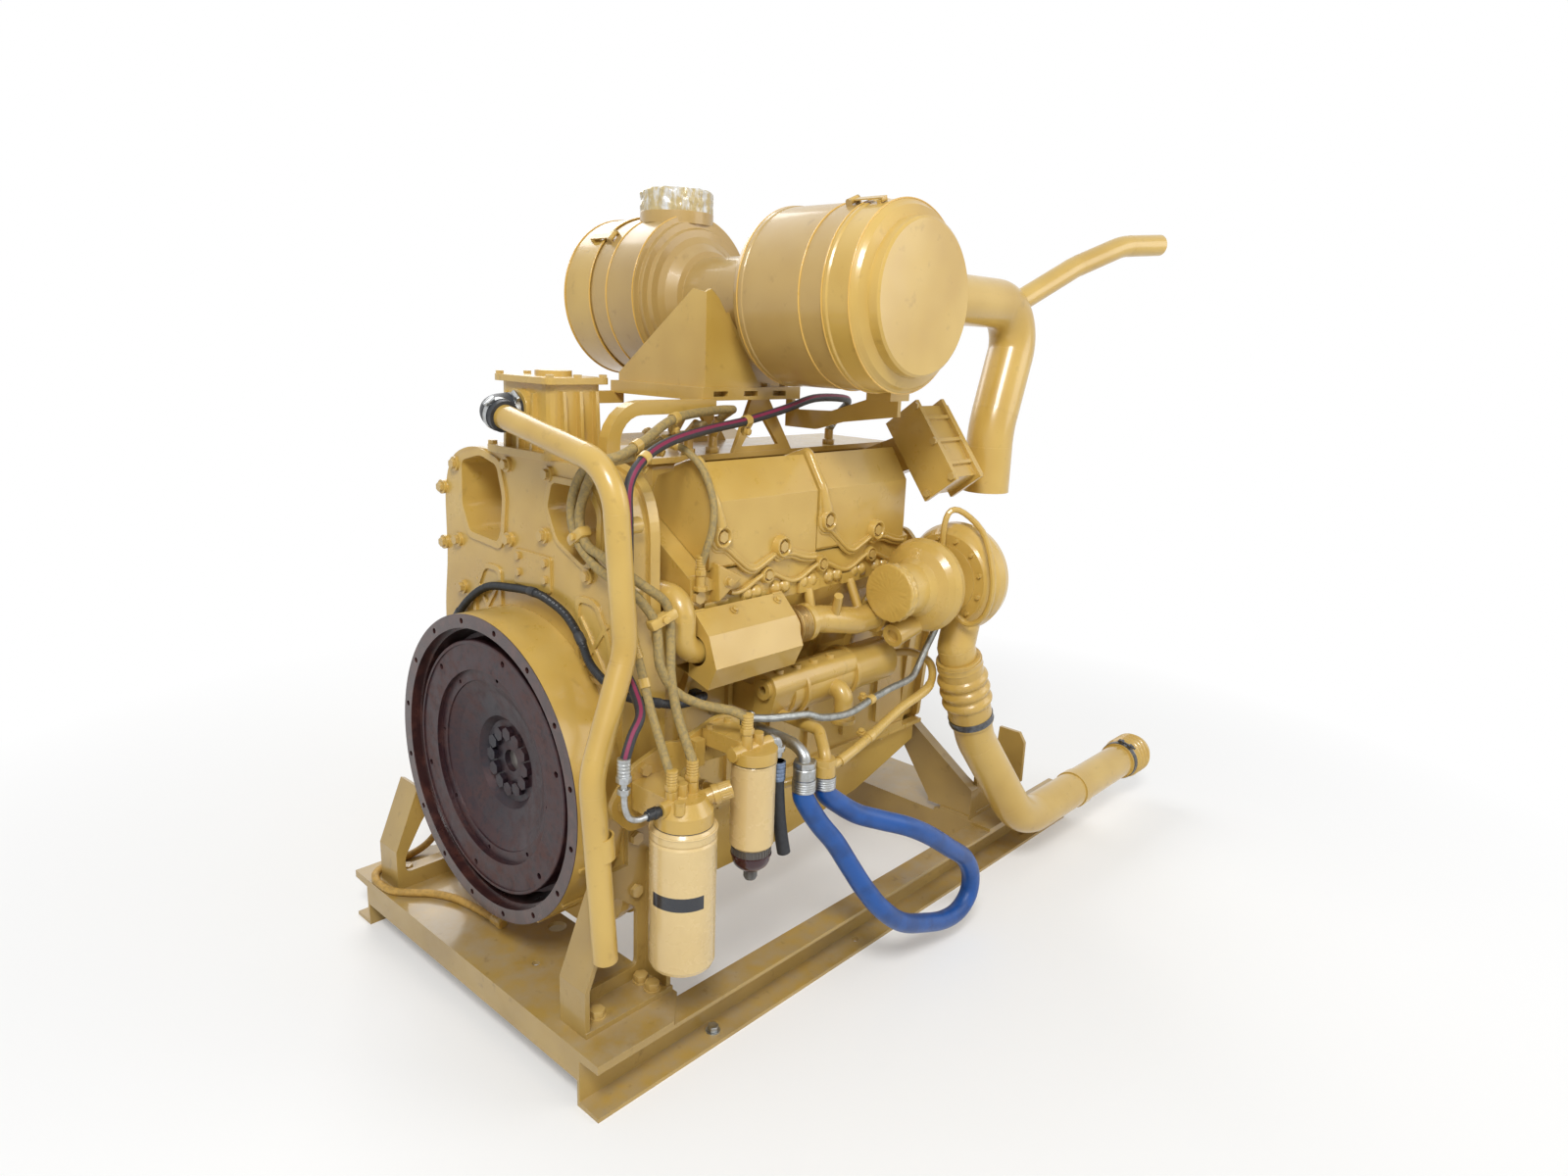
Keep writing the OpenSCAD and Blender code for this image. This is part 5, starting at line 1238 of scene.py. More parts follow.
    def sweep(
        self, line: list[Vector], radii: float | list[float], sides: int = 20
    ) -> Shell:
        """Draw a closed round section along a line, with UV in metres.

        Args:
            line: Points of the centreline.
            radii: One radius, or one for each point.
            sides: Number of sides of the section.

        Returns:
            This shell.
        """
        if isinstance(radii, (int, float)):
            radii = [float(radii)] * len(line)
        frames = self.frames(line, radii)
        part = self.part()
        uv = part.loops.layers.uv["UVMap"]
        place = part.verts.layers.int.new("place")
        bmesh.ops.create_circle(part, segments=sides, radius=1)
        bmesh.ops.transform(part, matrix=frames[0], verts=part.verts)
        first = part.edges[:]
        edges = first
        for i in range(1, len(line)):
            made = bmesh.ops.extrude_edge_only(part, edges=edges)["geom"]
            verts = [g for g in made if isinstance(g, bmesh.types.BMVert)]
            grown = [g for g in made if isinstance(g, bmesh.types.BMEdge)]
            fresh = set(verts)
            edges = [edge for edge in grown if fresh.issuperset(edge.verts)]
            for vert in verts:
                vert[place] = i
            onward = frames[i] @ frames[i - 1].inverted()
            bmesh.ops.transform(part, matrix=onward, verts=verts)
        reach = [0.0]
        for a, b in zip(line, line[1:]):
            reach.append(reach[-1] + (b - a).length)
        back = [m.inverted() for m in frames]
        for face in part.faces:
            counts = []
            for loop in face.loops:
                local = back[loop.vert[place]] @ loop.vert.co
                turn = math.atan2(local.y, local.x) / (2 * math.pi) * sides
                counts.append(round(turn) % sides)
            wraps = max(counts) - min(counts) > sides / 2
            for loop, count in zip(face.loops, counts):
                ring = loop.vert[place]
                count += sides if wraps and count < sides / 2 else 0
                around = 2 * math.pi * radii[ring] * count / sides
                loop[uv].uv = (around * MM, reach[ring] * MM)
        for rim in (first, edges):
            bmesh.ops.edgeloop_fill(part, edges=rim)
        return self.take(part)

    @staticmethod
    def frames(line: list[Vector], radii: list[float]) -> list[Matrix]:
        """Place a section of radius 1 along a line without twist.

        Args:
            line: Points of the centreline.
            radii: Radius at each point.

        Returns:
            The section's placement at each point.
        """
        last = len(line) - 1
        made = []
        side = None
        for i, point in enumerate(line):
            ahead = (line[min(i + 1, last)] - line[max(i - 1, 0)]).normalized()
            if side is None:
                side = ahead.orthogonal()
            side = (side - ahead * side.dot(ahead)).normalized()
            across = side * radii[i]
            up = ahead.cross(side) * radii[i]
            made.append(Matrix((across, up, ahead)).transposed().to_4x4())
            made[-1].translation = point
        return made

    def done(
        self, replaces: tuple[str, ...] = (), slot: str = "", smooth: float = 35.0
    ) -> bpy.types.Object:
        """Turn the shell into a piece that rides on the unit's fixed body.

        Args:
            replaces: Nodes of the frame it stands for.
            slot: Name of a material slot; not used.
            smooth: Edges sharper than this many degrees stay sharp.

        Returns:
            The piece.
        """
        bmesh.ops.scale(self.mesh, verts=self.mesh.verts, vec=(MM, MM, MM))
        mesh = bpy.data.meshes.new(self.name)
        self.mesh.to_mesh(mesh)
        self.mesh.free()
        mesh.shade_smooth()
        mesh.set_sharp_from_angle(angle=math.radians(smooth))
        mesh.materials.append(self.finish.material())
        piece = bpy.data.objects.new(self.name, mesh)
        bpy.context.scene.collection.objects.link(piece)
        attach(piece, "unit")
        if replaces:
            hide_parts(*replaces)
        log.info("%s: %d faces", self.name, len(mesh.polygons))
        return piece


# ---------------------------------------------------------------- hoses and lines
@dataclass
class HoseEnds:
    """Crimped ferrules, swivel nuts and stubs of one finish, gathered into one piece."""

    name: str
    finish: Finish
    ferrule: float = 32.0
    nut: float = 13.0
    shell: Shell = field(init=False)

    def __post_init__(self) -> None:
        """Start the piece."""
        self.shell = Shell(self.name, self.finish)

    def crimp(
        self, line: list[Vector], radius: float, at_end: bool, nut: bool = True
    ) -> None:
        """Put a ferrule, and a nut in front of it, over one end of a hose.

        Args:
            line: The hose's centreline.
            radius: The hose's radius.
            at_end: True for the line's last point, False for its first.
            nut: True adds the nut.
        """
        foot, inner = (line[-1], line[-4]) if at_end else (line[0], line[3])
        back = (inner - foot).normalized()
        r, end = radius, self.ferrule
        profile = [(0, 0), (r * 0.9, 0), (r + 2.4, 1), (r + 3.0, 2.5)]
        for k in range(4):
            low = 5 + k * (end - 8) / 4
            profile += [(r + 3.0, low), (r + 1.9, low + 1)]
            profile += [(r + 1.9, low + 3), (r + 3.0, low + 4)]
        profile += [(r + 2.6, end - 0.6), (r + 1.0, end), (0, end)]
        lead = self.nut - 1 if nut else 0.0
        self.shell.turned(profile, foot + back * lead, back, 28)
        if nut:
            self.shell.hexagon(foot, back, 2 * (r + 5.2), self.nut)

    def stub(self, foot: Point, axis: Point, radius: float, height: float) -> None:
        """Stand a round stub with a hexagon at its root.

        Args:
            foot: Centre of its lower face.
            axis: Direction it stands in.
            radius: Its radius.
            height: Its height.
        """
        r, top = radius, height - 0.5
        self.shell.hexagon(foot, axis, 2 * (r + 6), height * 0.3)
        outline = [(0, 0), (r, 0), (r, top - 1.5), (r - 1.5, top), (0, top)]
        self.shell.turned(outline, foot, axis, 28)

    def done(self, **settings: Any) -> bpy.types.Object:
        """Finish the piece."""
        return self.shell.done(**settings)


class FarEnd(Enum):
    """What the far end of a free hose is."""

    OBJECT = "object"
    FITTING = "fitting"
    BARE = "bare"


class Lay(Enum):
    """How a free hose lies."""

    HANGING = "hanging"
    LOOSE = "loose"


@dataclass
class FreeHose:
    """A hose that hangs or lies free for most of its run, named as its node is."""

    name: str
    way: list[Point]
    radius: float
    finish: Finish
    slot: str
    far_end: FarEnd
    lay: Lay
    fittings: list[bpy.types.Object] = field(default_factory=list)

    def line(self) -> list[Vector]:
        """Return the hose's centreline in millimetres."""
        return flow(self.way, 6)

    def build(self) -> bpy.types.Object:
        """Draw the hose.

        Returns:
            The hose's piece.
        """
        line = self.line()
        shell = Shell(self.name, self.finish).sweep(line, self.radius, 32)
        piece = shell.done(replaces=(self.name,), slot=self.slot)
        [c * MM for c in line[0]]
        run_length(line) * MM
        [[c * MM for c in point] for point in line]
        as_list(self.fittings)
        return piece


# Points that the hoses and lines run through, in millimetres.
BLUE_WAY = [
    (463, -556, 23.5), (463, -556, 12), (463, -556, 0), (464, -557, -25), (500, -572, -90),
    (544, -588, -150), (580, -606, -215), (615, -628, -280), (662, -648, -345),
    (740, -655, -410), (841, -655, -456), (930, -655, -486), (1000, -655, -488),
    (1045, -655, -455), (1046, -655, -395), (1005, -655, -335), (930, -655, -280),
    (840, -650, -215), (765, -635, -170), (695, -605, -140), (630, -580, -110),
    (576, -564, -70), (540, -558, -38), (533, -556, -16), (533, -556, -3), (533, -556, 9.5),
]
LAY = -424.7  # Height of the drain hose's centreline where it lies on the crossmember.
DRAIN_WAY = [
    (206, 372.3, -150), (206, 402, -153), (204, 430, -176), (196, 452, -225),
    (180, 466, -290), (150, 476, -360), (122, 481, -396), (95, 484, -415),
    (62, 484, LAY + 1), (25, 482, LAY), (-18, 474, LAY), (-52, 455, LAY), (-68, 422, LAY),
    (-70, 385, LAY), (-64, 346, LAY), (-42, 312, LAY), (0, 266, LAY), (30, 206, LAY),
    (43, 140, LAY), (50, 80, LAY), (54, 24, LAY),
]
DARK_WAY = [
    (403, -530, 74.7), (403, -530, 60), (403, -530, 39), (405, -531, 0), (409, -533, -50),
    (415, -536, -100), (423, -540, -148),
]


@dataclass
class FreeHoses:
    """The three hoses that are free, each with its own end fittings."""

    blue: float = 24.0
    drain: float = 9.5
    dark: float = 15.0

    def build(self) -> None:
        """Draw the three hoses with their fittings."""
        far, lay = FarEnd, Lay
        blue = FreeHose(
            "blue_hose", BLUE_WAY, self.blue, BLUE_HOSE, "blue_rubber", far.OBJECT, lay.HANGING
        )
        drain = FreeHose(
            "drain_hose", DRAIN_WAY, self.drain, PAINTED_HOSE, "paint", far.FITTING, lay.LOOSE
        )
        dark = FreeHose(
            "dark_hose", DARK_WAY, self.dark, BLACK_HOSE, "black_rubber", far.BARE, lay.HANGING
        )
        both, first = (False, True), (False,)
        for hose, ends, slot, capped, nut in (
            (blue, HoseEnds("blue_hose_ferrules", ZINC, 30.0), "zinc", both, False),
            (drain, HoseEnds("drain_hose_ends", SHEET, 26.0), "paint", both, True),
            (dark, HoseEnds("dark_hose_ferrule", BLUED, 44.0), "zinc", first, False),
        ):
            for at_end in capped:
                ends.crimp(hose.line(), hose.radius, at_end, nut)
            hose.fittings.append(ends.done(slot=slot))
            hose.build()


@dataclass(frozen=True)
class Run:
    """One line held at both ends."""

    name: str
    way: list[Point]
    radius: float
    finish: Finish
    slot: str
    plated: bool = False


TOP = 735.0  # Height of the unions on top of the valve covers.
RETURN_WAY = [
    (600, -95, TOP), (598, -122, 772), (584, -172, 796), (550, -208, 802), (490, -216, 802),
    (330, -262, 792), (200, -312, 752), (136, -318, 728), (102, -290, 716), (98, -240, 680),
    (98, -212, 612), (98, -232, 550), (98, -296, 506), (106, -368, 480), (138, -380, 450),
    (168, -390, 405), (172, -398, 370), (166, -412, 315), (190, -428, 260), (236, -455, 226),
    (280, -508, 214), (299, -533, 198), (300, -534, 184), (300, -534, 166),
]
SUPPLY_WAY = [
    (520, -95, TOP), (518, -124, 758), (500, -170, 764), (460, -206, 752), (380, -226, 750),
    (300, -258, 745), (200, -298, 726), (140, -310, 720), (102, -292, 706), (97, -264, 660),
    (98, -240, 600), (98, -262, 548), (99, -316, 530), (107, -372, 508), (144, -386, 478),
    (192, -394, 440), (204, -398, 400), (200, -406, 350), (186, -424, 290), (180, -450, 220),
    (168, -492, 172), (160, -520, 142), (160, -521, 122), (160, -521, 101),
]
LEAK_WAY = [
    (120, -378, 372), (124, -396, 330), (126, -412, 285), (122, -440, 230), (112, -480, 180),
    (105, -514, 135), (105, -521, 118), (105, -521, 96.7),
]
FEED_WAY = [
    (1040, -95, TOP), (1036, -130, 776), (1005, -185, 810), (930, -222, 824),
    (806, -238, 826), (700, -244, 804), (555, -255, 780), (400, -285, 767),
    (250, -335, 752), (150, -374, 725), (104, -390, 680), (100, -394, 600),
    (100, -394, 500), (96, -394, 400), (82, -402, 330), (75, -440, 292), (48, -495, 262),
    (10, -516, 232), (-12, -523, 190), (-15, -524, 152),
]
ROCKER_WAY = [
    (300, -248, 747), (330, -292, 730), (342, -338, 692), (343, -372, 630),
    (334, -382, 575), (322, -378, 530), (318, -366, 490), (318, -364, 470),
]
BRAID_WAY = [
    (403, -406, 130), (430, -407, 130), (470, -436, 128), (520, -458, 126),
    (566, -470, 122), (610, -480, 106), (705, -480, 92), (805, -470, 100),
    (890, -465, 108), (985, -460, 112), (1030, -450, 130), (1058, -454, 180),
    (1078, -465, 232), (1080, -467, 256), (1080, -467, 272), (1080, -467, 288.5),
]
CONDUIT_WAY = [
    (1010.5, -345, 140), (1022, -345, 140), (1036, -345, 140), (1062, -353, 142),
    (1100, -380, 142), (1122, -430, 116), (1072, -462, 70), (920, -480, 50),
    (770, -500, 20), (645, -508, -6), (560, -500, -16), (500, -475, -26),
    (450, -425, -46), (418, -340, -64), (408, -262.3, -70),
]
LOOM_WAY = [
    (105, 356, 120), (105, 340, 168), (105, 310, 228), (105, 262, 292), (105, 200, 345),
    (105, 125, 384), (105, 35, 399), (102, -60, 408), (102, -125, 400), (102, -185, 380),
    (98, -238, 342), (92, -276, 302), (92, -322, 276), (98, -368, 258), (130, -378, 240),
    (180, -384, 222), (240, -386, 204), (320, -368, 192), (370, -326, 176),
    (393, -290, 160), (400, -267, 150),
]


@dataclass
class HeldLines:
    """Fuel, oil and vent lines that are held at both ends, and their fittings."""

    head: float = 690.0
    base_port: Point = (72.7, -525.0, 64.0)
    stubs: tuple[tuple[Point, Point, float, float], ...] = (
        ((318, -364.6, 436), (0, 0, 1), 10, 34),
        ((120, -350, 373), (0, -1, 0), 11, 34),
        ((408, -250.3, -70), (0, -1, 0), 15, 12),
    )
    tubes: tuple[tuple[float, int, int, tuple[Point, ...]], ...] = (
        (6.5, 20, 6, (
            (-15, -524, 151), (-14.6, -524.3, 125), (-13, -524.6, 100), (-3, -525, 76),
            (18, -525, 64.6), (45, -525, 64), (54.7, -525, 64),
        )),
        (9.0, 20, 5, (
            (376, -530, 127), (385, -530, 127), (396, -530, 124), (402, -530, 114),
            (403, -530, 100), (403, -530, 84),
        )),
        (13.5, 24, 6, (
            (471, -251, 96), (471, -330, 95), (471, -440, 93), (470, -495, 92),
            (467, -528, 88), (464, -550, 76), (463, -556, 62), (463, -556, 44),
        )),
    )
    nuts: tuple[tuple[Point, Point, float, float], ...] = (
        ((-14.8, -524, 140), (0, 0, -1), 26, 12),
        ((403, -530, 98), (0, 0, 1), 32, 12),
        ((374.6, -530, 127), (1, 0, 0), 30, 10),
        ((463, -556, 50), (0, 0, 1), 56, 15),
    )
    union: Point = (463, -556, 24)
    ribs_from: float = 700.0
    ribs_to: float = 1085.0
    ribs_out: float = -420.0
    rib: float = 12.4
    tube: float = 10.8

    def runs(self) -> list[Run]:
        """List the lines.

        Returns:
            The lines.
        """
        return [
            Run("fuel_return_line", RETURN_WAY, 10, OLIVE_HOSE, "olive_hose"),
            Run("fuel_supply_line", SUPPLY_WAY, 10, OLIVE_HOSE, "olive_hose"),
            Run("leak_off_line", LEAK_WAY, 9, OLIVE_HOSE, "olive_hose"),
            Run("rocker_oil_line", ROCKER_WAY, 8, OLIVE_HOSE, "olive_hose"),
            Run("fuel_feed_line", FEED_WAY, 10, STRIPED_HOSE, "black_rubber", True),
            Run("turbo_oil_braid", BRAID_WAY, 9, STEEL_BRAID, "zinc", True),
        ]

    def build(self) -> None:
        """Draw every line, its fittings and the pipes between them."""
        painted = HoseEnds("line_fittings", SHEET)
        plated = HoseEnds("plated_line_fittings", ZINC, ferrule=36.0)
        for run in self.runs():
            line = flow(run.way, 5)
            Shell(run.name, run.finish).sweep(line, run.radius).done(slot=run.slot)
            for at_end in (False, True):
                (plated if run.plated else painted).crimp(line, run.radius, at_end)
            x, y, top = run.way[0]
            if top == TOP:
                painted.stub((x, y, self.head), (0, 0, 1), 12, TOP - self.head)
        for stub in self.stubs:
            painted.stub(*stub)
        self.pipes(plated.shell)
        plated.done(slot="zinc")
        self.conduit()
        painted.done(replaces=("fluid_lines",), slot="paint")
        self.connector()

    def pipes(self, shell: Shell) -> None:
        """Draw the bent tubes at the ends of the feed line and both hoses, with their nuts.

        Args:
            shell: The piece that takes them.
        """
        for radius, sides, steps, way in self.tubes:
            shell.sweep(flow(way, steps), radius, sides)
        for nut in self.nuts:
            shell.hexagon(*nut)
        outline = [(0, 0), (25, 0), (25.6, 2), (25.6, 24), (24, 26), (0, 26)]
        shell.turned(outline, self.union, steps=36)

    def connector(self) -> None:
        """Draw the black push-on connector between the bent tube and the filter base."""
        x, y, z = self.base_port
        shell = Shell("feed_connector", BLACK_PLASTIC)
        outline = [(0, 0), (9, 0), (10.5, 2), (10.5, 16), (12.5, 18), (12.5, 24)]
        outline += [(10.5, 26), (10.5, 33), (0, 33)]
        shell.turned(outline, (x - 34, y, z), (1, 0, 0), 28)
        shell.block((9, 6, 22), (x - 30, y, z + 10), (1, 0, 0), ease=1.2)
        shell.done(slot="black_plastic")

    def conduit(self) -> None:
        """Draw the painted conduit, with ribs two steps wide over its slanting half."""
        way = flow(CONDUIT_WAY, 6)
        line = even(way, 2.5)
        radii = []
        for k, point in enumerate(line):
            ribbed = self.ribs_from < point.x < self.ribs_to and point.y < self.ribs_out
            radii.append(self.rib if ribbed and k % 4 < 2 else self.tube)
        Shell("painted_conduit", SHEET).sweep(line, radii).done(slot="paint", smooth=60)
        fit = HoseEnds("conduit_ends", SHEET, ferrule=22.0)
        for at_end in (False, True):
            fit.crimp(way, 11, at_end)
        fit.done(slot="paint")


@dataclass
class Loom:
    """Split corrugated sleeve over the wires, with its plug."""

    radius: float = 9.6
    ridge: float = 1.4
    pitch: float = 2.3
    cuffs: tuple[Point, ...] = (
        (105, 262, 292), (102, -60, 408), (98, -238, 342), (180, -384, 222),
    )

    def build(self) -> None:
        """Draw the sleeve, its tape cuffs and the plug."""
        line = even(flow(LOOM_WAY, 5), self.pitch)
        radii = [self.radius - (0.0 if k % 2 else self.ridge) for k in range(len(line))]
        Shell("wiring_loom", BLACK_PLASTIC).sweep(line, radii, 16).done(
            replaces=("wiring_loom",), slot="black_rubber", smooth=60
        )
        tape = Shell("loom_tape", BLACK_RUBBER)
        cuff = [(0, -12), (10.2, -12), (10.8, -10), (10.8, 10), (10.2, 12), (0, 12)]
        for near in self.cuffs:
            tape.turned(cuff, *spot(line, near), 24)
        tape.block((30, 30, 22), (400, -251, 150), (0, -1, 0), ease=3.0)
        plug = [(0, 0), (13, 0), (13, 8), (11, 10), (11, 22), (0, 22)]
        tape.turned(plug, (400, -272, 151), (0, -1, 0.3), 24)
        tape.done(slot="black_plastic")


@dataclass
class Clips:
    """Cushioned clips and saddle clamps that hold the lines."""

    thick: float = 2.6
    reach: float = 10.0
    places: tuple[tuple[list[Point], Point, float, Point], ...] = (
        (FEED_WAY, (555, -255, 780), 10, (560, -240, 700)),
        (FEED_WAY, (160, -370, 729), 10, (175, -340, 690)),
        (RETURN_WAY, (179, -317, 744), 10, (190, -300, 690)),
        (RETURN_WAY, (330, -262, 792), 10, (340, -240, 700)),
        (SUPPLY_WAY, (300, -258, 745), 10, (310, -230, 690)),
        (LEAK_WAY, (126, -412, 285), 9, (140, -380, 285)),
        (BRAID_WAY, (805, -470, 100), 9, (805, -400, 100)),
        (CONDUIT_WAY, (770, -500, 20), 11, (770, -400, 40)),
        (CONDUIT_WAY, (560, -500, -16), 11, (560, -420, 0)),
    )
    saddles: tuple[Point, ...] = ((170, -392, 400), (98, -236, 560))

    def clip(
        self, shell: Shell, way: list[Point], near: Point, radius: float, foot: Point
    ) -> None:
        """Put a clip round a line, with its ears and bolt turned towards a point.

        Args:
            shell: The piece that takes it.
            way: The line's points.
            near: Where along the line.
            radius: The line's radius.
            foot: Point the ears look at.
        """
        place, ahead = spot(flow(way, 10), near)
        r, rim, w = radius + 0.4, radius + 0.4 + self.thick, self.reach
        band = [(r, -w), (rim, -w + 0.8), (rim, w - 0.8), (r, w)]
        shell.turned(band, place, ahead, 36, ring=True)
        out = Vector(foot) - place
        out = (out - ahead * out.dot(ahead)).normalized()
        side = ahead.cross(out)
        roll = roll_to(out, ahead)
        for s in (-2.1, 2.1):
            ear = place + out * (r - 1) + side * s
            shell.block((20, 3.0, 24), ear, out, roll)
        seat = place + out * (r + 14)
        shell.bolt(seat + side * 3.6, side, (10, 1.8), (17, 6.5), 24)
        shell.hexagon(seat - side * 3.6, -side, 17, 6.5)

    def saddle(
        self, shell: Shell, first: list[Point], second: list[Point], near: Point
    ) -> None:
        """Clamp two lines in one saddle with a bolt between them.

        Args:
            shell: The piece that takes it.
            first: The points of one line.
            second: The points of the other.
            near: Where along the first line.
        """
        one, ahead = spot(flow(first, 10), near)
        two, _ = spot(flow(second, 10), one)
        middle = (one + two) / 2
        across = (two - one).normalized()
        across = (across - ahead * across.dot(ahead)).normalized()
        out = ahead.cross(across)
        wide = (two - one).length + 32
        roll = roll_to(out, ahead)
        shell.block((24, wide, 30), middle - out * 15, out, roll=roll, ease=7.0)
        shell.hexagon(middle + out * 15, out, 17, 7)

    def build(self) -> None:
        """Draw the clips on the upper lines and the saddles beside the gear case."""
        shell = Shell("line_clips", SHEET)
        for way, near, radius, foot in self.places:
            self.clip(shell, way, near, radius, foot)
        for near in self.saddles:
            self.saddle(shell, RETURN_WAY, SUPPLY_WAY, near)
        shell.done(slot="paint")


# ---------------------------------------------------------------- wraps, bowl, elbow
TURBO = (856.5, -467.0, 365.0)  # Centre of the turbocharger's taped outlet.


@dataclass
class Wrap:
    """Film or tape drawn over a round opening and gathered down its side."""

    name: str
    node: str
    finish: Finish
    foot: Point
    axis: Point
    radius: float
    drop: float
    slack: float
    crease: float
    slot: str
    lift: float = 3.0
    spokes: int = 144

    def crumple(self, place: Vector) -> Vector:
        """Move one point of the smooth skin to where the creases carry it.

        Args:
            place: The point, with the opening's rim at height 0.

        Returns:
            Its new place.
        """
        probe = place / self.crease
        rough = noise.noise(probe) + 0.5 * noise.noise(probe * 2.3)
        flat = Vector((place.x, place.y, 0))
        if place.z < -1e-6:
            turn = math.atan2(place.y, place.x)
            folds = math.sin(turn * 17 + 3 * noise.noise(probe * 0.6))
            swell = max(self.slack * (0.9 + rough + 0.35 * folds), 0.3)
            hem = self.slack * rough * (place.z < 0.5 - self.drop)
            return place + flat.normalized() * swell + Vector((0, 0, hem))
        share = flat.length / self.radius
        height = self.lift * (1 - share**3) + 0.8 * self.slack * rough * (0.2 + share)
        return flat + Vector((0, 0, max(height, 0.25)))

    def build(self) -> None:
        """Draw the creased skin."""
        outline = [(self.radius * k / 14, 0.0) for k in range(15)]
        outline += [(self.radius, -self.drop * k / 14) for k in range(1, 15)]
        part = Shell.spun(outline, self.spokes)
        bmesh.ops.remove_doubles(part, verts=part.verts, dist=1e-3)
        for vert in part.verts:
            vert.co = self.crumple(vert.co)
        shell = Shell(self.name, self.finish).take(part, facing(self.foot, self.axis))
        piece = shell.done(replaces=(self.node,), slot=self.slot, smooth=70)
        wall = piece.modifiers.new("wall", "SOLIDIFY")
        wall.thickness = 0.4 * MM
        wall.offset = -1.0


@dataclass
class Bowl:
    """Clear sediment bowl with a ribbed collar."""

    x: float = 317.0
    y: float = -540.0
    top: float = -87.0
    radius: float = 44.5
    ribs: int = 36

    def build(self) -> None:
        """Draw the bowl."""
        r = self.radius
        shell = Shell("separator_bowl", RED_PLASTIC)
        collar = [(0, 0), (r, 0), (r, -2), (r - 2.5, -3), (r - 2.5, -18), (r, -19.5)]
        cup = [(r, -22), (r - 2, -24), (r - 3, -34), (r - 7, -44), (r - 14, -51)]
        boss = [(23, -55.5), (21, -58.5), (6, -59), (6, -45), (0, -45)]
        shell.turned(collar + cup + boss, (self.x, self.y, self.top), steps=72)
        for k in range(self.ribs):
            turn = 2 * math.pi * k / self.ribs
            way = Vector((math.cos(turn), math.sin(turn), 0))
            foot = Vector((self.x, self.y, self.top - 18.5)) + way * (r - 2.6)
            shell.block((3.2, 3.0, 16), foot, roll=math.degrees(turn), ease=0.6)
        shell.done(replaces=("separator_bowl",), slot="red_bowl")


@dataclass
class WormClamps:
    """Bright worm-drive clamps on the breather elbow."""

    places: tuple[tuple[Point, Point], ...] = (
        ((90, -8, 800), (1, 0, 0)),
        ((39.8, -48, 792.6), (-0.005, -0.983, -0.183)),
    )
    radius: float = 33.4

    def build(self) -> None:
        """Draw the two clamps with their screws."""
        shell = Shell("worm_clamps", ZINC)
        r = self.radius
        band = [(r, -6), (r + 0.9, -6.2), (r + 0.9, 6.2), (r, 6)]
        for foot, axis in self.places:
            shell.turned(band, foot, axis, 64, ring=True)
            along = Vector(axis).normalized()
            up = (Vector((0, 0, 1)) - along * along.z).normalized()
            out = (up + along.cross(up) * 0.8).normalized()
            side = along.cross(out)
            seat = Vector(foot) + out * (r + 0.6)
            shell.block((17, 14, 7), seat, out, roll=roll_to(out, side), ease=2.0)
            shell.disc(4.6, 20, seat + out * 4.5 - side * 10, side, 20)
            shell.hexagon(seat + out * 4.5 + side * 9, side, 11, 6)
        shell.done(slot="zinc")


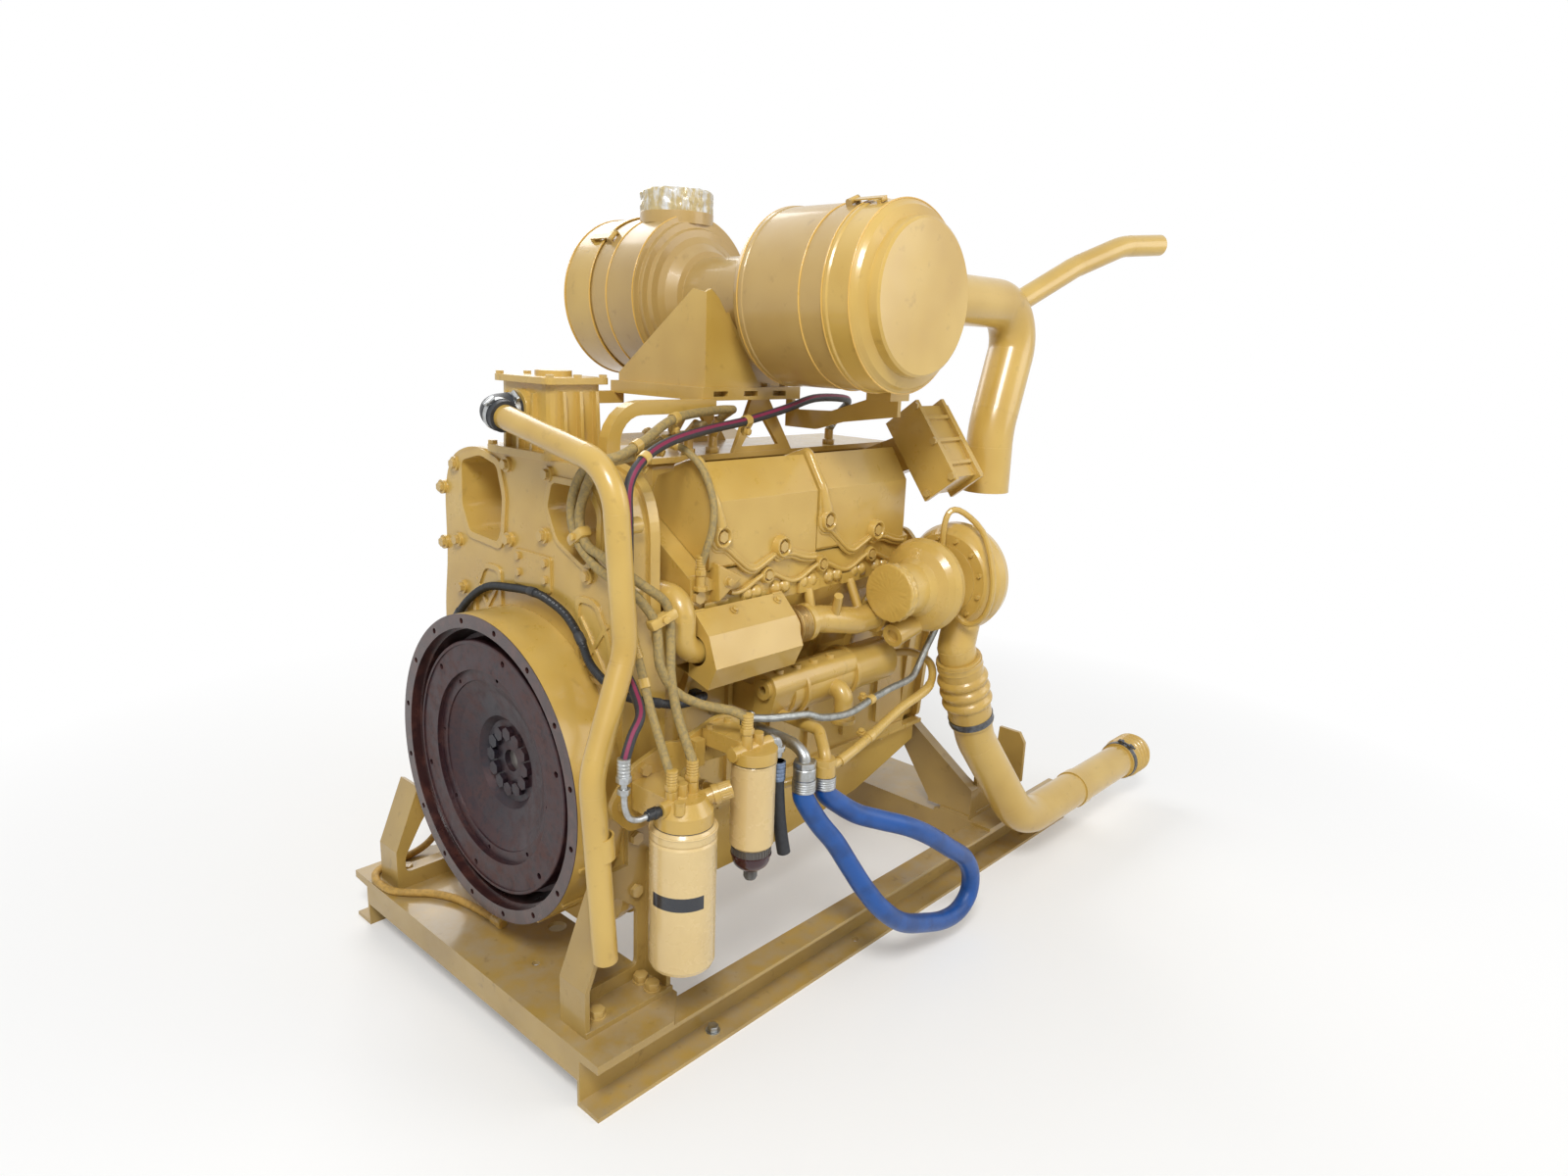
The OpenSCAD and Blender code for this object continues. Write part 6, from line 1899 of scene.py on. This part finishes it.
# ---------------------------------------------------------------- castings' trim
@dataclass
class CoverTrim:
    """Rolled rims, bolt cups and spines of the valve covers, and the heads' wavy ribs."""

    starts: tuple[float, float] = (354.0, 709.0)
    face: float = 355.0
    spine: tuple[Point, ...] = (
        (13, 231, 681), (13, 281, 699), (13, 303, 702), (13, 330, 660), (14, 351, 624),
        (19, 353, 598), (28, 353, 568),
    )
    edge_start: tuple[float, float] = (3.0, 556.0)
    cups: tuple[tuple[float, float], ...] = ((30.0, 545.0), (225.0, 500.0))
    arcs: tuple[tuple[float, float, float], ...] = ((26.0, 180.0, 270.0), (25.0, 222.0, 300.0))
    dips: tuple[tuple[tuple[float, float], ...], ...] = (
        ((48, 516), (84, 488), (116, 464), (140, 457), (164, 465), (190, 476)),
        ((268, 477), (300, 466), (330, 460), (348, 459)),
    )
    head_face: float = 347.5
    bosses: tuple[float, ...] = (542.0, 735.0, 928.0)
    boss_z: float = 436.0
    wave: float = 193.0
    rib: tuple[int, int, int] = (424, 1066, 12)

    def edge(self) -> Outline:
        """Trace the lower edge of a cover: an arc under each cup, and a dip after it.

        Returns:
            Its points as (x, z) from the cover's start.
        """
        path = [self.edge_start]
        for (x, z), (radius, first, last), dip in zip(self.cups, self.arcs, self.dips):
            for k in range(5):
                turn = math.radians(first + (last - first) * k / 4)
                path.append((x + radius * math.cos(turn), z + radius * math.sin(turn)))
            path += dip
        return path

    def cup(self, shell: Shell, foot: Point, axis: Point, radius: float, deep: float) -> None:
        """Raise a rounded cup round a bolt's head, with a washer in it.

        Args:
            shell: The piece that takes it.
            foot: Centre of its lower face.
            axis: Direction it stands in.
            radius: Radius of its rim.
            deep: Its height.
        """
        outer = [(0.64, 0), (1.14, 0), (1.04, 0.5), (1, 0.8), (0.92, 1)]
        inner = [(0.8, 1), (0.7, 0.86), (0.64, 0.6)]
        section = [(radius * r, deep * h) for r, h in outer + inner]
        shell.turned(section, foot, axis, 48, ring=True)
        shell.disc(radius * 0.62, 2.2, Vector(foot) + Vector(axis) * deep * 0.35, axis, 32)

    def build(self) -> None:
        """Draw the trim of both banks."""
        for side, name in ((-1, "near"), (1, "far")):
            shell = Shell(f"cover_trim_{name}", CAST)
            out = (0, side, 0)
            for start in self.starts:
                rim = flow([(start + x, side * self.face, z) for x, z in self.edge()], 3)
                shell.sweep(rim, 5.6, 14)
                lower = [p + Vector((0, -side * 5, -8)) for p in rim]
                shell.sweep(lower, 5.0, 12)
                for x, z in self.cups:
                    self.cup(shell, (start + x, side * 350, z), out, 25, 19)
                spine = flow([(start + x, side * y, z) for x, y, z in self.spine], 5)
                last = len(spine) - 1
                wide = [10 + 8 * max(0.0, k / last - 0.55) / 0.45 for k in range(last + 1)]
                shell.sweep(spine, wide)
            for x in self.bosses:
                self.cup(shell, (x, side * 341, self.boss_z), out, 19, 15)
            rib = []
            for x in range(*self.rib):
                swing = math.cos((x - self.bosses[0]) * 2 * math.pi / self.wave)
                rib.append((x, side * self.head_face, self.boss_z - 12 + 15 * swing))
            shell.sweep(flow(rib, 2), 6.0, 12)
            shell.done(slot="paint")


@dataclass
class CastDetail:
    """Triangular pads, lumps and plugs cast on the heads, and the heat shield's screws."""

    head_face: float = 342.0
    pad: tuple[float, float] = (394.0, 447.0)
    lump_z: float = 397.0
    bosses: tuple[float, ...] = (542.0, 735.0, 928.0)
    screws: tuple[float, ...] = (412.0, 552.0)

    def triangle(self, shell: Shell, side: int) -> None:
        """Raise the triangular pad with its bolt on one bank's head.

        Args:
            shell: The piece that takes it.
            side: -1 for the near bank, 1 for the far one.
        """
        x, z = self.pad
        out = Vector((0, side, 0))
        part = Shell.part()
        bmesh.ops.create_cone(part, cap_ends=True, segments=3, radius1=58, radius2=48, depth=32)
        bmesh.ops.translate(part, verts=part.verts, vec=(0, 0, 16))
        Shell.ease(part, 4.0, 3)
        turn = math.radians(roll_to(out, Vector((-0.55, 0, 0.83))) - 90)
        place = facing((x, side * (self.head_face - 4), z), out)
        shell.take(part, place @ Matrix.Rotation(turn, 4, "Z"))
        seat = (x + 2, side * (self.head_face + 28), z - 2)
        shell.bolt(seat, out, (12, 2), (18, 8))

    def build(self) -> None:
        """Draw the details of both banks."""
        shell = Shell("cast_detail", CAST)
        dome = [(0, 13), (7, 12), (13, 8.6), (17, 3.4), (19, -2), (0, -2)]
        plug = [(0, -1), (17, -1), (17, 4), (15.5, 5), (10, 5), (9, 2.4), (0, 2.4)]
        for side in (-1, 1):
            out = (0, side, 0)
            self.triangle(shell, side)
            for x in self.bosses:
                for step in (-62, -30, 34, 66):
                    foot = (x + step, side * self.head_face, self.lump_z + step % 4)
                    shell.turned(dome, foot, out, 32)
            shell.turned(plug, (333, side * self.head_face, 404), out)
        slope = Vector((0, -46, 48)).normalized()
        for x in self.screws:
            seat = Vector((x, -373, 379.5)) + slope * 1.2
            shell.bolt(seat, slope, (10, 1.8), (14, 6.5))
        shell.done(slot="paint")


@dataclass
class FootBolts:
    """Washers and tall heads of the supports' foot bolts, and the loose bolt in the rail."""

    level: float = -422.5
    places: tuple[tuple[float, float], ...] = ((7.0, 408.0), (148.0, 378.0), (148.0, 416.0))
    rail_hole: Point = (267.0, -487.0, -555.0)

    def build(self) -> None:
        """Draw the bolts."""
        up = (0, 0, 1)
        shell = Shell("foot_bolt_heads", BOLTS)
        for side in (-1, 1):
            for x, y in self.places:
                shell.bolt((x, side * y, self.level), up, (18.6, 3), (34, 15), 40)
        shell.done(slot="paint")
        loose = Shell("rail_bolt_head", ZINC)
        loose.bolt(self.rail_hole, up, (17, 3), (27, 12), 40)
        loose.done(slot="zinc")


@dataclass
class Guard:
    """Corrugated guard pushed over the conduit where it passes the blue hose."""

    first: float = 604.0
    last: float = 754.0
    radius: float = 12.0
    ridge: float = 3.4

    def build(self) -> None:
        """Draw the guard."""
        line = [p for p in flow(CONDUIT_WAY, 2) if self.first < p.x < self.last]
        wide = [
            self.radius + self.ridge * (0.5 - 0.5 * math.cos(2 * math.pi * k / 4))
            for k in range(len(line))
        ]
        shell = Shell("conduit_guard", SHEET)
        shell.sweep(line, wide, 28)
        shell.done(slot="paint")


@dataclass
class Bellows:
    """Thin steel bellows in the exhaust pipe, with its bright folds."""

    foot: Point = (602.0, -366.0, 305.0)
    radius: float = 41.0
    depth: float = 5.6
    pitch: float = 4.9
    folds: int = 9

    def build(self) -> None:
        """Draw the folds."""
        profile = [(0.0, 0.0)]
        for k in range(self.folds * 8 + 1):
            swell = self.depth * (0.5 + 0.5 * math.sin(2 * math.pi * k / 8))
            profile.append((self.radius + swell, k * self.pitch / 8))
        profile.append((0.0, self.folds * self.pitch))
        shell = Shell("exhaust_bellows", WORN_STEEL)
        shell.turned(profile, self.foot, (1, 0, 0), 72)
        shell.done(slot="zinc", smooth=60)


@dataclass
class BandClamps:
    """T-bolt clamps on the charge air hoses and the strap on the rail."""

    hose_top: Point = (1140.0, -505.0, 150.0)
    hose_foot: Point = (1216.0, -518.0, -50.0)
    end: Point = (2081.0, -590.0, -401.0)
    radius: float = 61.2
    width: float = 20.0

    def band(self, shell: Shell, foot: Vector, axis: Vector, roll: float) -> None:
        """Draw one band with its trunnions, T-bolt and nut.

        Args:
            shell: The piece that takes it.
            foot: Centre of the band's lower edge.
            axis: The hose's direction.
            roll: Turn of the bolt about the axis, in degrees.
        """
        r, w = self.radius, self.width
        lower = [(r, 0), (r + 1.2, 0), (r + 2.0, 1.2), (r + 1.2, 2.4)]
        upper = [(rim, w - height) for rim, height in reversed(lower)]
        shell.turned(lower + upper, foot, axis, 72, ring=True)
        turn = Matrix.Rotation(math.radians(roll), 3, axis)
        out = (turn @ axis.orthogonal()).normalized()
        side = axis.cross(out)
        middle = foot + axis * w / 2 + out * (r + 1)
        for seat in (middle - side * 15, middle + side * 15):
            shell.disc(5.5, w - 2, seat + out * 5 - axis * (w / 2 - 1), axis, 20)
            shell.block((w - 4, 15, 6), seat - out * 2, out, roll_to(out, axis), 1.2)
        shell.disc(3.2, 62, middle + out * 6 - side * 26, side, 16)
        shell.hexagon(middle + out * 6 + side * 20, side, 14, 8)
        shell.block((18, 6, 5), middle + out * 3.5 - side * 26, side, ease=1.0)

    def build(self) -> None:
        """Draw the painted clamp, the two dark clamps and the strap."""
        axis = (Vector(self.hose_foot) - Vector(self.hose_top)).normalized()
        painted = Shell("painted_clamps", SHEET)
        self.band(painted, Vector(self.hose_top) + axis * 8, axis, 200)
        dark = Shell("hose_clamps", DARK_STEEL)
        self.band(dark, Vector(self.hose_foot) - axis * 26, axis, 170)
        self.band(dark, Vector(self.end), Vector((1, 0, 0)), 60)
        dark.done(replaces=("clamps",), slot="zinc")
        strap = [(55.3, 0), (58.8, 0.4), (58.8, 39.6), (55.3, 40)]
        painted.turned(strap, (1740, -590, -401), (1, 0, 0), 72, ring=True)
        painted.block((40, 70, 5), (1760, -516, -443.6), ease=1.0)
        for x in (1750, 1770):
            painted.hexagon((x, -508, -438.6), (0, 0, 1), 17, 7)
        painted.done(slot="paint")


@dataclass
class SealRings:
    """Black seals over the canisters, and the canisters' rolled lips."""

    seals: tuple[tuple[float, float, Point], ...] = (
        (46.0, 2.6, (317, -540, 107.5)), (58.0, 2.4, (135, -525, 20.4)),
    )
    lips: tuple[tuple[float, float, Point], ...] = (
        (47.0, 1.9, (317, -540, 101.5)), (67.8, 2.2, (135, -525, 12.5)),
    )

    def build(self) -> None:
        """Draw the seals and lips."""
        for name, finish, slot, rings in (
            ("canister_seals", BLACK_RUBBER, "black_rubber", self.seals),
            ("canister_lips", CREAM, "canister_paint", self.lips),
        ):
            shell = Shell(name, finish)
            for radius, thick, foot in rings:
                shell.turned(self.torus(radius, thick), foot, steps=64, ring=True)
            shell.done(slot=slot)

    @staticmethod
    def torus(radius: float, thick: float) -> Outline:
        """Return the section of a ring."""
        turns = [2 * math.pi * k / 12 for k in range(12)]
        return [(radius + thick * math.cos(a), thick * math.sin(a)) for a in turns]


@dataclass
class CanBands:
    """Rolled seams and band edges round the air cleaner's cans and end covers."""

    centre: tuple[float, float] = (735.0, 1060.5)
    radius: float = 203.0
    seams: tuple[tuple[float, float], ...] = (
        (-556.0, 0.6), (-486.0, 2.8), (-420.0, 0.4), (-236.0, 0.6), (-222.0, -12.0),
        (131.0, 0.6), (236.0, 0.4), (302.0, 2.8), (411.0, 0.6),
    )

    def build(self) -> None:
        """Draw the seams."""
        shell = Shell("can_seams", BRIGHT)
        x, z = self.centre
        for y, lift in self.seams:
            section = SealRings.torus(self.radius + lift, 2.1)
            shell.turned(section, (x, y, z), (0, 1, 0), 128, ring=True)
        shell.done(slot="paint")


# ---------------------------------------------------------------- the whole frame
@dataclass
class Dressing:
    """Finishes of the frame's own nodes; a node that isn't listed is cast and enamelled."""

    plan: dict[Finish, tuple[str, ...]] = field(
        default_factory=lambda: {
            PLATE: ("skid_frame", "rear_support_near", "rear_support_far", "front_support"),
            SHEET: (
                "cleaner_bracket", "charge_pipe", "heat_shield", "end_cover_near",
                "end_cover_far", "intake_pipe", "breather_pipe", "latch_near", "latch_far",
            ),
            DUSTY: ("cleaner_can_near", "cleaner_can_far"),
            HOUSING: ("flywheel_housing",),
            PRINTED: ("fuel_filter",),
            CREAM: ("water_separator",),
            IRON: ("flywheel", "flywheel_bolts", "turbo_rotor"),
            FORGED: ("crankshaft",),
            BOLTS: ("fasteners",),
            GREY_PLASTIC: ("drain_valve",),
            BLACK_RUBBER: ("breather_elbow",),
        }
    )

    def dress(self, nodes: dict[str, bpy.types.Object]) -> None:
        """Give each node of the frame its finish.

        Args:
            nodes: The frame's nodes by name.
        """
        chosen = {name: finish for finish, names in self.plan.items() for name in names}
        for name, piece in nodes.items():
            finish = chosen.get(name, CAST)
            piece.data.materials.clear()
            piece.data.materials.append(finish.material())
            log.info("%s in %s", name, finish.name)


# ---------------------------------------------------------------- floor, light, camera
@dataclass
class Studio:
    """Floor, soft light and camera."""

    floor_z: float = -564 * MM
    eye: Point = (-1.102, -1.894, 0.959)
    yaw: float = 42.22
    pitch: float = 13.77
    roll: float = -2.21
    lens: float = 23.04
    sky: float = 0.36
    lamps: tuple[tuple[str, Point, Point, float, float], ...] = (
        ("key", (-2.0, -2.6, 3.6), (0.8, -0.2, 0.2), 1.3, 165),
        ("fill", (2.8, -3.2, 1.8), (1.0, -0.2, 0.2), 2.0, 34),
        ("back", (1.5, 3.2, 2.8), (0.8, 0.0, 0.2), 2.4, 70),
    )

    def floor(self) -> None:
        """Lay the pale floor under the skid."""
        shell = bmesh.new()
        bmesh.ops.create_grid(shell, x_segments=1, y_segments=1, size=30)
        bmesh.ops.translate(shell, verts=shell.verts, vec=(0.9, 0, self.floor_z))
        mesh = bpy.data.meshes.new("floor")
        shell.to_mesh(mesh)
        shell.free()
        piece = bpy.data.objects.new("floor", mesh)
        bpy.context.scene.collection.objects.link(piece)
        mesh.materials.append(PaleFloor("pale_floor").material())

    def world(self) -> None:
        """Make the soft sky, white where the camera and glossy rays see it."""
        sky = bpy.data.worlds.new("sky")
        bpy.context.scene.world = sky
        sky.use_nodes = True
        tree = sky.node_tree
        tree.nodes.clear()
        feeds = {"Value": backdrop_rays(tree), "To Min": self.sky, "To Max": 1.0}
        level = add_node(tree, "ShaderNodeMapRange", feeds)
        feeds = {"Color": "#ffffff", "Strength": level}
        glow = add_node(tree, "ShaderNodeBackground", feeds)
        add_node(tree, "ShaderNodeOutputWorld", {"Surface": glow})

    def lamp(self, name: str, place: Point, target: Point, size: float, power: float) -> None:
        """Hang one soft square lamp.

        Args:
            name: The lamp's name.
            place: Where it hangs, in metres.
            target: The point it shines at.
            size: Side of the lamp in metres.
            power: Its power in watts.
        """
        data = bpy.data.lights.new(name, "AREA")
        data.size = size
        data.energy = power
        lamp = bpy.data.objects.new(name, data)
        bpy.context.scene.collection.objects.link(lamp)
        lamp.location = place
        lamp.rotation_mode = "QUATERNION"
        lamp.rotation_quaternion = (Vector(target) - Vector(place)).to_track_quat("-Z", "Y")

    def camera(self) -> None:
        """Set the camera at the viewing angle."""
        data = bpy.data.cameras.new("camera")
        data.lens = self.lens
        data.sensor_width = 36
        camera = bpy.data.objects.new("camera", data)
        bpy.context.scene.collection.objects.link(camera)
        turn, dip, lean = (math.radians(a) for a in (self.yaw, self.pitch, self.roll))
        flat = math.cos(dip)
        ahead = Vector((flat * math.cos(turn), flat * math.sin(turn), -math.sin(dip)))
        level = ahead.cross(Vector((0, 0, 1))).normalized()
        below = ahead.cross(level)
        right = math.cos(lean) * level + math.sin(lean) * below
        down = math.cos(lean) * below - math.sin(lean) * level
        axes = Matrix((right, -down, -ahead)).transposed().to_4x4()
        camera.matrix_world = Matrix.Translation(self.eye) @ axes
        data.clip_start, data.clip_end = 0.05, 100
        bpy.context.scene.camera = camera

    def build(self) -> None:
        """Make the whole studio."""
        self.camera()
        self.floor()
        self.world()
        for lamp in self.lamps:
            self.lamp(*lamp)
        bpy.context.scene.view_settings.view_transform = "Standard"


def main() -> None:
    """Build the unit's looks round its frame."""
    logging.basicConfig(level=logging.INFO, format="%(message)s")
    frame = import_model()
    Studio().build()
    Dressing().dress(frame["nodes"])
    film = Wrap(
        "inlet_film", "inlet_wrap", FILM, (735, 200, 1325.6), (0, 0, 1), 89.6, 62, 3.4, 17,
        "wrap_film",
    )
    tape = Wrap(
        "outlet_tape", "outlet_cover", SHEET, TURBO, (-1, 0, 0), 70.4, 25, 2.2, 7, "paint",
        lift=2.0,
    )
    for piece in (
        FreeHoses(), HeldLines(), Loom(), Clips(), film, tape, CoverTrim(), CastDetail(),
        FootBolts(), Guard(), Bellows(), BandClamps(), SealRings(), CanBands(), Bowl(),
        WormClamps(),
    ):
        piece.build()
    bpy.context.view_layer.update()


if __name__ == "__main__":
    main()
